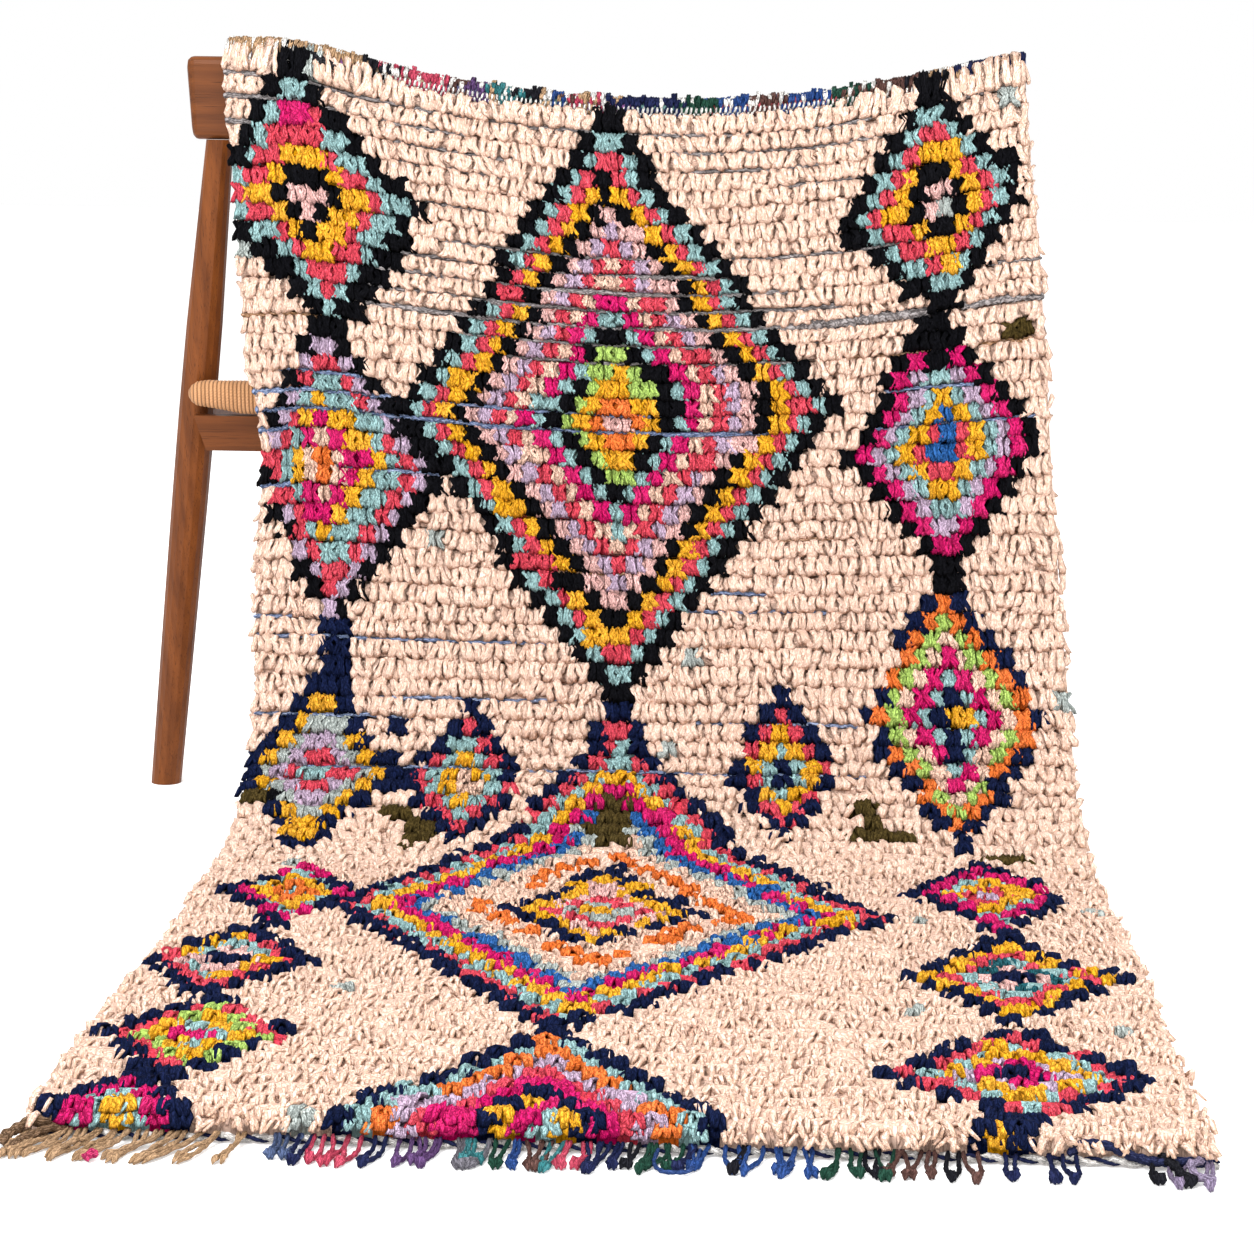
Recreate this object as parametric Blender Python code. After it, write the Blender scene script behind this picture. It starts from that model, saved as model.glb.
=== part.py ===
"""A boucherouite rug, knotted from rag strips, draped over the crest rail of a
plain wooden settee chair and swept forward on to the floor.

Metres, +Z up. X runs across the rug, -Y is its near, fringed end, and Z = 0 is
the floor that the rug, its fringe and the four feet stand on.
"""

import math

import bmesh
import bpy
import numpy as np

# ---------------------------------------------------------------- main sizes
RUG_WIDTH = 0.890          # finished width, without the locks at the rim
ROWS = 78                  # rows of knots from the head band to the near end
ROW_AT_HEAD = 0.0200       # pitch of the first row
ROW_GROWTH = 2.9e-5        # the rows get this much taller each (twice per row)
PILE_HANGING = 0.0235      # pile height over the hanging rows
PILE_FLOOR = 0.0270        # the pile stands up fuller on the floor
SEAT_GAP = 0.0003          # what touching pieces keep between them

RAIL_TOP = 0.8427          # crest rail, at its ends
RAIL_HEIGHT = 0.0930
RAIL_THICK = 0.0320
RAIL_CORNER = 0.0090
RAIL_SAG = 0.0510          # the scooped middle lies this much lower
RAIL_BELLY = 0.0310        # and its underside this much lower
SAG_CENTRE, SAG_HALF = 0.000, 0.4100
CHAIR_X = -0.0740          # the chair stands a little left of the rug
RAIL_HALF = 0.4635

POST_TOP_Z = RAIL_TOP - RAIL_HEIGHT - SEAT_GAP
POST_TOP_HALF, POST_FOOT_HALF = 0.4250, 0.4995
RAKE = 0.124               # the posts' feet stand this far behind the rail
LEG_TOP_Z = 0.4500
LEG_TOP_Y, LEG_FOOT_Y = 0.490, 0.545
LEG_TOP_HALF, LEG_FOOT_HALF = 0.3850, 0.3950
SEAT_TOP = 0.4780

LEAN = -0.046              # the hanging part shears to the left by this much
LEAN_FROM, LEAN_TO = 0.12, 0.80

# the origin: middle of the bounding box, on the floor
ORIGIN = (-0.06339, -0.28809)

# The drape: the underside of the cloth from its near end up and over the rail,
# measured from the rail's centre line. y forward is negative, z is height.
DRAPE = (
    # name            y        z
    ("near_end",     -1.0750,  0.0000),
    ("floor",        -0.6800,  0.0000),
    ("touches_down", -0.2850,  0.0000),
    ("lifting",      -0.2350,  0.0110),
    ("sweep_low",    -0.1780,  0.0350),
    ("sweep",        -0.1280,  0.0610),
    ("sweep_high",   -0.0990,  0.0900),
    ("knee",         -0.0670,  0.1530),
    ("falling",      -0.0360,  0.2500),
    ("hanging_low",  -0.0255,  0.3400),
    ("hanging",      -0.0220,  0.4500),
    ("hanging_high", -0.0205,  0.6000),
    ("rail_foot",    -0.0190,  0.7200),
    ("rail_front",   -0.0180,  0.8337),
    ("front_turn",   -0.0165,  0.8392),
    ("front_brow",   -0.01225, 0.84265),
    ("rail_top_1",   -0.0070,  0.8430),
    ("rail_top_2",    0.0070,  0.8430),
    ("back_brow",     0.01225, 0.84265),
    ("back_turn",     0.0165,  0.8392),
    ("rail_back",     0.0182,  0.8337),
    ("flap_end",      0.0190,  0.7880),
)

# The head end is a rolled, flat-woven band: its thickness over the rail.
BAND = {"front_turn": 0.0100, "front_brow": 0.0120, "rail_top_1": 0.0125,
        "rail_top_2": 0.0120, "back_brow": 0.0110, "back_turn": 0.0085,
        "rail_back": 0.0060, "flap_end": 0.0040}

# Crosswise stations of the underside, which the crest rail shares, so that the
# cloth lies on the rail all the way along.
UNDER_COLS = 16
TOP_COLS = 26


def noise(i, j=0, k=0):
    """A fixed value in -1..1 for each set of whole numbers."""
    n = math.sin(i * 12.9898 + j * 78.233 + k * 37.719 + 4.137) * 43758.5453
    return 2.0 * (n - math.floor(n)) - 1.0


def smooth(a, b, x):
    """0 at a, 1 at b, eased; b may be the smaller."""
    t = min(1.0, max(0.0, (x - a) / (b - a)))
    return t * t * (3.0 - 2.0 * t)


def sag(x):
    """0 at the rug's corners, 1 in the middle of the rail."""
    q = (x - SAG_CENTRE) / SAG_HALF
    return max(0.0, 1.0 - q * q) ** 1.2


RAIL_STATIONS = [LEAN + (RUG_WIDTH / 2 - 0.006) * (2.0 * k / UNDER_COLS - 1.0)
                 for k in range(UNDER_COLS + 1)]
RAIL_SAGS = [sag(x) for x in RAIL_STATIONS]


def faceted_dip(x):
    """How far the rail's top, and the cloth on it, lies below its ends."""
    return RAIL_SAG * float(np.interp(x, RAIL_STATIONS, RAIL_SAGS))


def pchip(t, v, at):
    """Monotone cubic through (t, v): no overshoot, so the floor stays flat."""
    h = np.diff(t)
    d = np.diff(v) / h
    m = np.zeros(len(t))
    for i in range(1, len(t) - 1):
        if d[i - 1] * d[i] > 0:
            w1, w2 = 2 * h[i] + h[i - 1], h[i] + 2 * h[i - 1]
            m[i] = (w1 + w2) / (w1 / d[i - 1] + w2 / d[i])
    m[0], m[-1] = d[0], d[-1]
    k = np.clip(np.searchsorted(t, at) - 1, 0, len(h) - 1)
    s = (at - t[k]) / h[k]
    return ((1 + 2 * s) * (1 - s) ** 2 * v[k] + s * (1 - s) ** 2 * h[k] * m[k]
            + s * s * (3 - 2 * s) * v[k + 1] + s * s * (s - 1) * h[k] * m[k + 1])


_y = np.array([row[1] for row in DRAPE])
_z = np.array([row[2] for row in DRAPE])
_t = np.concatenate([[0.0], np.cumsum(np.hypot(np.diff(_y), np.diff(_z)))])
_fine = np.linspace(0.0, _t[-1], 6001)
CURVE_Y, CURVE_Z = pchip(_t, _y, _fine), pchip(_t, _z, _fine)
CURVE_S = np.concatenate(
    [[0.0], np.cumsum(np.hypot(np.diff(CURVE_Y), np.diff(CURVE_Z)))])
CURVE_END = float(CURVE_S[-1])


def along_at(name):
    """Distance along the cloth, from the near end, of a row of the drape."""
    k = [row[0] for row in DRAPE].index(name)
    return float(np.interp(_t[k], _fine, CURVE_S))


PILE_TOP = along_at("rail_front") - 0.002


def row_edge(r):
    """Distance from the near end of the upper edge of row r, counted from the head."""
    scale = PILE_TOP / (ROW_AT_HEAD * ROWS + ROW_GROWTH * ROWS * ROWS)
    return PILE_TOP - scale * (ROW_AT_HEAD * r + ROW_GROWTH * r * r)


def drape(x, along, lift):
    """The point at crosswise x, that far along, and lifted off the underside."""
    y = float(np.interp(along, CURVE_S, CURVE_Y))
    z = float(np.interp(along, CURVE_S, CURVE_Z))
    y2 = float(np.interp(along + 0.002, CURVE_S, CURVE_Y))
    z2 = float(np.interp(along + 0.002, CURVE_S, CURVE_Z))
    y1 = float(np.interp(along - 0.002, CURVE_S, CURVE_Y))
    z1 = float(np.interp(along - 0.002, CURVE_S, CURVE_Z))
    ty, tz = y2 - y1, z2 - z1
    size = math.hypot(ty, tz)
    ny, nz = -tz / size, ty / size
    over = along > along_at("rail_front") - 0.004
    lean_x = LEAN * min(1.0, max(0.0, (z - LEAN_FROM) / (LEAN_TO - LEAN_FROM)))
    if over:
        lean_x = LEAN
    px = x + lean_x
    # the floor part wanders a little to the right half way along
    px += 0.010 * math.exp(-((along - 0.50) / 0.20) ** 2)
    if not over:
        px += 0.007 * smooth(0.60, 0.90, along) * smooth(0.83, 0.60, z)
    # the left edge curls back towards the chair at seat height
    curl = math.exp(-((z - 0.41) / 0.085) ** 2) * smooth(0.36, 0.46, -x)
    if over:
        curl = 0.0
    px += 0.014 * curl
    drop = faceted_dip(px) if over else RAIL_SAG * sag(px) * smooth(0.06, 0.83, z)
    py = y + ny * lift + 0.014 * curl
    pz = z + nz * lift - drop - 0.010 * curl
    return (px, py, pz)


def zip_strip(a, b, ta, tb):
    """Triangles between two runs of vertex numbers with their places 0..1."""
    out, i, j = [], 0, 0
    while i < len(a) - 1 or j < len(b) - 1:
        step_a = i < len(a) - 1 and (j == len(b) - 1 or ta[i + 1] <= tb[j + 1])
        if step_a:
            out.append((a[i], a[i + 1], b[j]))
            i += 1
        else:
            out.append((a[i], b[j + 1], b[j]))
            j += 1
    return out


def material(name, colour, rough, metal=0.0):
    m = bpy.data.materials.new(name)
    m.use_nodes = True
    bsdf = m.node_tree.nodes["Principled BSDF"]
    bsdf.inputs["Base Color"].default_value = (*colour, 1.0)
    bsdf.inputs["Roughness"].default_value = rough
    bsdf.inputs["Metallic"].default_value = metal
    return m


def add_object(name, verts, faces, mat, angle=35.0):
    mesh = bpy.data.meshes.new(name)
    moved = [(v[0] - ORIGIN[0], v[1] - ORIGIN[1], v[2]) for v in verts]
    mesh.from_pydata(moved, [], faces)
    bm = bmesh.new()
    bm.from_mesh(mesh)
    bmesh.ops.recalc_face_normals(bm, faces=bm.faces)
    if bm.calc_volume(signed=True) < 0:
        bmesh.ops.reverse_faces(bm, faces=bm.faces)
    bm.to_mesh(mesh)
    bm.free()
    mesh.shade_smooth()
    mesh.set_sharp_from_angle(angle=math.radians(angle))
    mesh.materials.append(mat)
    obj = bpy.data.objects.new(name, mesh)
    bpy.context.scene.collection.objects.link(obj)
    return obj


# ------------------------------------------------------------------- the rug
def pile_stations():
    """(along, row, crest) from the near end up to the band and over the rail."""
    out = [(0.0, ROWS, 0)]
    for r in range(ROWS - 1, -1, -1):
        low, high = row_edge(r + 1), row_edge(r)
        out.append((low + 0.30 * (high - low), r, 1))
        out.append((high, r, 0))
    out += [(along_at(name), -1, thick) for name, thick in BAND.items()]
    return out


def under_stations():
    out = [0.0, 0.11, 0.22, 0.33, 0.44, 0.55, 0.66, along_at("touches_down")]
    mark = along_at("touches_down")
    end = along_at("rail_foot")
    count = 18
    out += [mark + (end - mark) * k / count for k in range(1, count)]
    out += [along_at(n) for n in ("rail_foot", "rail_front", "front_turn", "front_brow",
                                  "rail_top_1", "rail_top_2", "back_brow",
                                  "back_turn", "rail_back", "flap_end")]
    return out


def pile_lift(along, row, crest, j):
    """Thickness of the rug at a station and a column, lumps included.

    crest is 1 on a row's crest and 0 in its valley; on the band it is the
    band's own thickness.
    """
    if row < 0:
        return crest
    laid = 1.0 - smooth(along_at("touches_down") - 0.02, along_at("knee"), along)
    full = PILE_HANGING + (PILE_FLOOR - PILE_HANGING) * laid
    lump = 0.0024 * noise(row, j, 1) + 0.0016 * noise(row // 2, j // 2, 2)
    if crest:
        return full + lump * (1.0 + 0.9 * laid)
    valley = 0.0125 + 0.0065 * laid
    if row == 0:
        return 0.0105
    if row == ROWS:
        return 0.0110
    return valley + 0.6 * lump


def build_rug(mat):
    stations = pile_stations()
    verts, top = [], []
    half = RUG_WIDTH / 2
    cols = [-half + RUG_WIDTH * k / TOP_COLS for k in range(TOP_COLS + 1)]
    for i, (along, row, crest) in enumerate(stations):
        line = []
        for j, u in enumerate(cols):
            lift = pile_lift(along, row, crest, j)
            x = u
            rim = j in (0, TOP_COLS)
            if row >= 0 and rim:
                side = -1.0 if j == 0 else 1.0
                lock = 0.0055 + 0.0055 * noise(row, j, 5) if crest else -0.0025
                x = u + side * lock
                lift *= 0.55
            elif row >= 0 and j in (1, TOP_COLS - 1):
                side = -1.0 if j == 1 else 1.0
                x = u + side * 0.016
            elif row >= 0:
                x = u + 0.0025 * noise(row, j, 7)
            reach = along
            if row == ROWS:
                reach = -0.0015
            elif row >= 0 and 0 < along:
                reach = along + (0.0016 * noise(row, j, 3) if crest else 0.0)
            line.append(len(verts))
            verts.append(drape(x, reach, lift) if reach >= 0 else
                         (lambda p: (p[0], p[1] + reach, p[2]))(drape(x, 0.0, lift)))
        top.append(line)
    under, lows = [], under_stations()
    inner = half - 0.006
    ucols = [-inner + 2 * inner * k / UNDER_COLS for k in range(UNDER_COLS + 1)]
    for along in lows:
        line = []
        for u in ucols:
            line.append(len(verts))
            p = drape(u, along, 0.0)
            verts.append((p[0], p[1], 0.0) if along <= along_at("touches_down") + 1e-6 else p)
        under.append(line)
    faces = []
    for grid, flip in ((top, False), (under, True)):
        for i in range(len(grid) - 1):
            for j in range(len(grid[0]) - 1):
                q = (grid[i][j], grid[i][j + 1], grid[i + 1][j + 1], grid[i + 1][j])
                tri = ((q[0], q[1], q[2]), (q[0], q[2], q[3]))
                if (i + j) % 2 and not flip:
                    tri = ((q[0], q[1], q[3]), (q[1], q[2], q[3]))
                faces += [t[::-1] if flip else t for t in tri]
    ta = [max(0.0, s[0]) / CURVE_END for s in stations]
    tb = [s / CURVE_END for s in lows]
    for column, flip in ((0, True), (-1, False)):
        a = [line[column] for line in top]
        b = [line[column] for line in under]
        faces += [t[::-1] if flip else t for t in zip_strip(a, b, ta, tb)]
    tc = [k / TOP_COLS for k in range(TOP_COLS + 1)]
    td = [k / UNDER_COLS for k in range(UNDER_COLS + 1)]
    for i, flip in ((0, False), (-1, True)):
        faces += [t[::-1] if flip else t for t in zip_strip(top[i], under[i], tc, td)]
    return add_object("rug_cloth", verts, faces, mat, 60.0)


# ------------------------------------------------------------- knotted ends
def fringe(name, stations, strands, mat):
    """A strip with tubes growing out of its cells.

    stations: list of four-corner rings along the strip.
    strands: {cell: list of four-corner rings}, each starting at the cell's
    outer face.
    """
    verts, faces, rings = [], [], []
    for ring in stations:
        rings.append(list(range(len(verts), len(verts) + 4)))
        verts += ring
    faces.append(tuple(rings[0]))
    faces.append(tuple(reversed(rings[-1])))
    for c in range(len(rings) - 1):
        a, b = rings[c], rings[c + 1]
        for k in range(4):
            n = (k + 1) % 4
            if k == 0 and c in strands:
                hole = [a[0], a[1], b[1], b[0]]
                for ring in strands[c]:
                    new = list(range(len(verts), len(verts) + 4))
                    verts += ring
                    for m in range(4):
                        faces.append((hole[m], hole[(m + 1) % 4],
                                      new[(m + 1) % 4], new[m]))
                    hole = new
                faces.append(tuple(hole))
            else:
                faces.append((a[k], a[n], b[n], b[k]))
    return add_object(name, verts, faces, mat, 60.0)


NEAR_STRANDS = 48
NEAR_STRIP_DEEP, NEAR_STRIP_TALL = 0.009, 0.0065


def build_near_fringe(mat):
    """The edging and its knotted ends, lying level on the floor."""
    front = DRAPE[0][1] - 0.0015 - SEAT_GAP
    half = RUG_WIDTH / 2 - 0.004
    pitch = 2 * half / NEAR_STRANDS
    stations, strands = [], {}
    cell = 0

    def ring(x):
        return [(x, front - NEAR_STRIP_DEEP, 0.0), (x, front - NEAR_STRIP_DEEP, NEAR_STRIP_TALL),
                (x, front, NEAR_STRIP_TALL), (x, front, 0.0)]

    stations.append(ring(-half))
    for n in range(NEAR_STRANDS):
        mid = -half + pitch * (n + 0.5) + 0.0016 * noise(n, 3)
        root = 0.0030
        stations += [ring(mid - root), ring(mid + root)]
        cell = len(stations) - 2
        reach = 0.042 + 0.011 * noise(n, 1)
        # neighbours lean together in twos and threes
        sway = 0.0045 * (1 if n % 3 == 0 else -1 if n % 3 == 2 else 0) + 0.0020 * noise(n, 2)
        path = []
        for f, r in ((0.35, 0.0021), (0.74, 0.0020), (0.88, 0.0044), (1.0, 0.0018)):
            x = mid + sway * math.sin(f * math.pi / 2) + 0.0012 * math.sin(3.0 * f + n)
            y = front - NEAR_STRIP_DEEP - reach * f
            # a(0) bottom, a(1) top at mid-root; b(1), b(0) at mid+root
            path.append([(x - r, y, 0.0), (x - r, y, 2 * r), (x + r, y, 2 * r), (x + r, y, 0.0)])
        strands[cell] = path
    stations.append(ring(half))
    return fringe("near_fringe", stations, strands, mat)


FAR_STRANDS = 24


def build_far_fringe(mat):
    """The head end's warp knots, hanging behind the crest rail."""
    y_back = DRAPE[-1][1]
    z_end = DRAPE[-1][2] - 0.0012      # its stations cut the corners of the cloth's
    inner = RUG_WIDTH / 2 - 0.010
    thick, tall = 0.0040, 0.0070
    stations, strands = [], {}

    def ring(x):
        z = z_end - faceted_dip(x)
        y0, y1 = y_back + 0.0002, y_back + thick
        return [(x, y0, z - tall), (x, y1, z - tall), (x, y1, z), (x, y0, z)]

    lo, hi = -inner + LEAN, inner + LEAN
    pitch = (hi - lo) / FAR_STRANDS
    stations.append(ring(lo))
    for n in range(FAR_STRANDS):
        mid = lo + pitch * (n + 0.5)
        for dx in (-0.0028, 0.0028):
            stations.append(ring(mid + dx))
        cell = len(stations) - 2
        reach = 0.030 + 0.007 * noise(n, 11)
        sway = 0.004 * noise(n, 12)
        base_z = z_end - tall - faceted_dip(mid)
        path = []
        for f, r in ((0.40, 0.0018), (0.75, 0.0018), (0.88, 0.0038), (1.0, 0.0016)):
            x = mid + sway * f
            z = base_z - reach * f
            yc = y_back + thick / 2 + 0.0022 * f
            path.append([(x - r, yc - r, z), (x - r, yc + r, z),
                         (x + r, yc + r, z), (x + r, yc - r, z)])
        strands[cell] = path
    stations.append(ring(hi))
    return fringe("far_fringe", stations, strands, mat)


# ----------------------------------------------------------------- the chair
def loft(name, rings, mat, angle=35.0):
    """A closed solid through rings of equal length, flat at both ends."""
    verts, faces = [], []
    n = len(rings[0])
    for ring in rings:
        verts += ring
    faces.append(tuple(range(n)))
    faces.append(tuple(range(len(verts) - 1, len(verts) - n - 1, -1)))
    for i in range(len(rings) - 1):
        for k in range(n):
            a, b = i * n + k, i * n + (k + 1) % n
            faces.append((a, b, b + n, a + n))
    return add_object(name, verts, faces, mat, angle)


def rounded(y0, y1, z0, z1, r, steps=3):
    """Points of a rounded rectangle in the YZ plane."""
    out = []
    for cy, cz, start in ((y1 - r, z1 - r, 0), (y0 + r, z1 - r, 90),
                          (y0 + r, z0 + r, 180), (y1 - r, z0 + r, 270)):
        for k in range(steps + 1):
            a = math.radians(start + 90.0 * k / steps)
            out.append((cy + r * math.cos(a), cz + r * math.sin(a)))
    return out


def rail_levels(x):
    """Top and underside; the underside is level where the posts meet it."""
    q = (x - CHAIR_X) / 0.360
    belly = RAIL_BELLY * max(0.0, 1.0 - q * q) ** 1.5
    return RAIL_TOP - faceted_dip(x), RAIL_TOP - RAIL_HEIGHT - belly


def build_crest(mat):
    left, right = CHAIR_X - RAIL_HALF, CHAIR_X + RAIL_HALF
    xs = [x for x in RAIL_STATIONS if left + 0.014 < x < right - 0.014]
    soft = 0.010
    ends = [0.0, 0.0022, 0.0060, soft]
    rings = []
    for e in ends:
        inset = soft - math.sqrt(soft * soft - (soft - e) ** 2)
        rings.append((left + e, inset))
    rings += [(x, 0.0) for x in xs]
    for e in reversed(ends):
        inset = soft - math.sqrt(soft * soft - (soft - e) ** 2)
        rings.append((right - e, inset))
    out = []
    for x, inset in rings:
        top, low = rail_levels(x)
        half = RAIL_THICK / 2 - inset
        ring = rounded(-half, half, low + inset, top - inset, RAIL_CORNER - 0.45 * inset)
        # the ends lean in towards the foot of the rail
        lean = 0.009 * max(0.0, 1.0 - (x - left) / 0.03) - 0.009 * max(0.0, 1.0 - (right - x) / 0.03)
        out.append([(x + lean * (top - z) / RAIL_HEIGHT, y, z) for y, z in ring])
    return loft("crest_rail", out, mat)


def post_axis(z, side):
    t = z / POST_TOP_Z
    return (CHAIR_X + side * (POST_FOOT_HALF + (POST_TOP_HALF - POST_FOOT_HALF) * t),
            RAKE * (1.0 - t))


POST_RADII = (  # height, radius
    (0.000, 0.0175), (0.150, 0.0192), (0.330, 0.0208), (0.440, 0.0212),
    (0.540, 0.0206), (0.650, 0.0180), (POST_TOP_Z, 0.0155))


def post_radius(z):
    return float(np.interp(z, [h for h, _ in POST_RADII], [r for _, r in POST_RADII]))


def build_post(name, side, mat):
    rings = []
    for z, r in POST_RADII:
        cx, cy = post_axis(z, side)
        rings.append([(cx + r * math.cos(a), cy + r * math.sin(a), z)
                      for a in (math.tau * k / 16 for k in range(16))])
    return loft(name, rings, mat)


def leg_axis(z, side):
    t = z / LEG_TOP_Z
    return (CHAIR_X + side * (LEG_FOOT_HALF + (LEG_TOP_HALF - LEG_FOOT_HALF) * t),
            LEG_FOOT_Y + (LEG_TOP_Y - LEG_FOOT_Y) * t)


def build_leg(name, side, mat):
    rings = []
    for z, r in ((0.0, 0.0172), (0.15, 0.0188), (0.33, 0.0205), (LEG_TOP_Z - SEAT_GAP, 0.0208)):
        cx, cy = leg_axis(z, side)
        rings.append([(cx + r * math.cos(a), cy + r * math.sin(a), z)
                      for a in (math.tau * k / 16 for k in range(16))])
    return loft(name, rings, mat)


def post_front(z):
    """The plane that touches the front of both rear posts."""
    return post_axis(z, 1)[1] - post_radius(0.44)


def block(name, corners, mat):
    """A six-sided piece: corners(x 0/1, y 0/1, z 0/1) gives each point."""
    v = [corners(i, j, k) for i in (0, 1) for j in (0, 1) for k in (0, 1)]
    f = [(0, 1, 3, 2), (4, 6, 7, 5), (0, 4, 5, 1), (2, 3, 7, 6), (0, 2, 6, 4), (1, 5, 7, 3)]
    return add_object(name, v, f, mat)


CORD_THICK = 0.030


def build_cord_rail(mat):
    """The rear seat rail, wound with cord, lapped over the front of the posts."""
    half = 0.4575
    rings = []
    for e, tall, deep in ((0.000, 0.008, 0.012), (0.003, 0.018, 0.022), (0.009, 0.026, 0.029),
                          (0.020, 0.030, 0.030), (0.060, 0.037, 0.030), (0.20, 0.039, 0.030)):
        rings.append((-half + e, tall, deep))
    rings += [(-x, t, d) for x, t, d in reversed(rings)]
    out = []
    for x, tall, deep in rings:
        top = SEAT_TOP - (0.030 - min(tall, 0.030)) / 2
        low = top - tall
        ring = []
        for y, z in rounded(-deep / 2, deep / 2, low, top, min(tall, deep) * 0.46):
            ring.append((CHAIR_X + x, post_front(z) - SEAT_GAP - CORD_THICK / 2 + y, z))
        out.append(ring)
    return loft("seat_rail_rear", out, mat)


def build_chair(wood, cord):
    build_crest(wood)
    build_post("rear_post_left", -1, wood)
    build_post("rear_post_right", 1, wood)
    build_leg("front_leg_left", -1, wood)
    build_leg("front_leg_right", 1, wood)
    build_cord_rail(cord)
    top, low, thick = SEAT_TOP - 0.039 - SEAT_GAP, 0.3990, 0.024
    half = 0.4520
    belly = 0.007

    def apron(i, j, k):
        z = low + (top - low) * k
        y = post_front(z) - SEAT_GAP - thick * (1 - j)
        return (CHAIR_X + (2 * i - 1) * (half - (0 if k else belly * 2)), y, z)
    block("apron_rear", apron, wood)

    low2, top2 = 0.4050, LEG_TOP_Z - SEAT_GAP
    near_leg = 0.0208 + SEAT_GAP
    behind_post = post_radius(0.44) + SEAT_GAP

    def front(i, j, k):
        z = low2 + (top2 - low2) * k
        side = 2 * i - 1
        x, y = leg_axis(z, side)
        return (x - side * near_leg, y - 0.011 + 0.022 * j, z)
    block("apron_front", front, wood)

    for name, side in (("apron_left", -1), ("apron_right", 1)):
        def beside(i, j, k, side=side):
            z = low2 + (top2 - low2) * k
            post, leg = post_axis(z, side), leg_axis(z, side)
            x, y = (post[0], post[1] + behind_post) if j == 0 else (leg[0], leg[1] - near_leg)
            return (x + (i - 0.5) * 0.022, y, z)
        block(name, beside, wood)

    # the woven seat, narrower away from the back
    z0, z1 = LEG_TOP_Z, 0.4660

    def seat(i, j, k):
        z = z0 + (z1 - z0) * k
        wide = 0.4270 if j == 0 else 0.3740
        return (CHAIR_X + (2 * i - 1) * wide, post_front(z) + 0.0003 if j == 0 else 0.5060, z)
    block("seat_panel", seat, cord)


def main():
    for obj in list(bpy.data.objects):
        bpy.data.objects.remove(obj)
    wool = material("rag_pile", (0.82, 0.66, 0.52), 0.95)
    ends = material("warp_cord", (0.20, 0.22, 0.34), 0.9)
    wood = material("oiled_wood", (0.27, 0.11, 0.045), 0.42)
    cord = material("paper_cord", (0.50, 0.30, 0.15), 0.8)
    build_rug(wool)
    build_near_fringe(ends)
    build_far_fringe(ends)
    build_chair(wood, cord)


if __name__ == "__main__":
    main()
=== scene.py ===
import math

import bpy
import numpy as np
from bpy.props import FloatProperty, FloatVectorProperty, IntProperty, PointerProperty
from mathutils import Matrix, Vector


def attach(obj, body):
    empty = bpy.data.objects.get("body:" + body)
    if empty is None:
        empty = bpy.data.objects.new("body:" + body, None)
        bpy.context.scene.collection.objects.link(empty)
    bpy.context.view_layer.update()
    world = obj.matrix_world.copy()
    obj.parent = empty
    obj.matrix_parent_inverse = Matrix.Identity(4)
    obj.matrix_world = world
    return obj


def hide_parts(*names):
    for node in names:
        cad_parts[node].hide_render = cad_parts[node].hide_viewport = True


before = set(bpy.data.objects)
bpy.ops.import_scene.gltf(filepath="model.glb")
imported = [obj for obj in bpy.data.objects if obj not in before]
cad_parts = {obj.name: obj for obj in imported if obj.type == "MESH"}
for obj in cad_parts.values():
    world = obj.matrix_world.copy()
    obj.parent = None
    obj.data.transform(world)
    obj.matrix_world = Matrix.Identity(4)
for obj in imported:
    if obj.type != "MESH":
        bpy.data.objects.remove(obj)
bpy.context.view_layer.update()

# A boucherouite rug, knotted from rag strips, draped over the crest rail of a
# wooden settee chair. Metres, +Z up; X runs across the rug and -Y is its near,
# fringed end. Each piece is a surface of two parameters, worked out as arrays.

bl_info = {
    "name": "Boucherouite rug on a settee chair",
    "version": (1, 0, 0),
    "blender": (4, 5, 0),
    "location": "3D View > Sidebar > Rug",
    "description": "Makes a knotted rag rug, draped over a wooden chair, piece by piece",
    "category": "Object",
}

TAU = 2.0 * math.pi

# ------------------------------------------------------------ the draped shape
ORIGIN = (-0.06339, -0.28809)             # the frame's origin in cloth coordinates
RUG_WIDTH = 0.890
ROW_PITCH, ROW_GROWTH = 0.0200, 2.9e-5    # the first row's height, and how rows grow
RAIL_SAG, SAG_HALF = 0.0510, 0.4100       # the scoop in the crest rail's top
LEAN = -0.046                             # the hanging rug leans this far to the left
CHAIR_X = -0.0740
DRAPE = (   # name, y, z: the underside of the cloth, from its near end over the rail
    ("near_end", -1.0750, 0.0), ("floor", -0.6800, 0.0),
    ("touches_down", -0.2850, 0.0), ("lifting", -0.2350, 0.0110),
    ("sweep_low", -0.1780, 0.0350), ("sweep", -0.1280, 0.0610),
    ("sweep_high", -0.0990, 0.0900), ("knee", -0.0670, 0.1530),
    ("falling", -0.0360, 0.2500), ("hanging_low", -0.0255, 0.3400),
    ("hanging", -0.0220, 0.4500), ("hanging_high", -0.0205, 0.6000),
    ("rail_foot", -0.0190, 0.7200), ("rail_front", -0.0180, 0.8337),
    ("front_turn", -0.0165, 0.8392), ("front_brow", -0.01225, 0.84265),
    ("rail_top_1", -0.0070, 0.8430), ("rail_top_2", 0.0070, 0.8430),
    ("back_brow", 0.01225, 0.84265), ("back_turn", 0.0165, 0.8392),
    ("rail_back", 0.0182, 0.8337), ("flap_end", 0.0190, 0.7880),
)
BAND = (    # thickness of the rolled band at the places that it passes
    ("rail_front", 0.0090), ("front_turn", 0.0100), ("front_brow", 0.0120),
    ("rail_top_1", 0.0125), ("rail_top_2", 0.0120), ("back_brow", 0.0110),
    ("back_turn", 0.0085), ("rail_back", 0.0060), ("flap_end", 0.0040),
)


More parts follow.
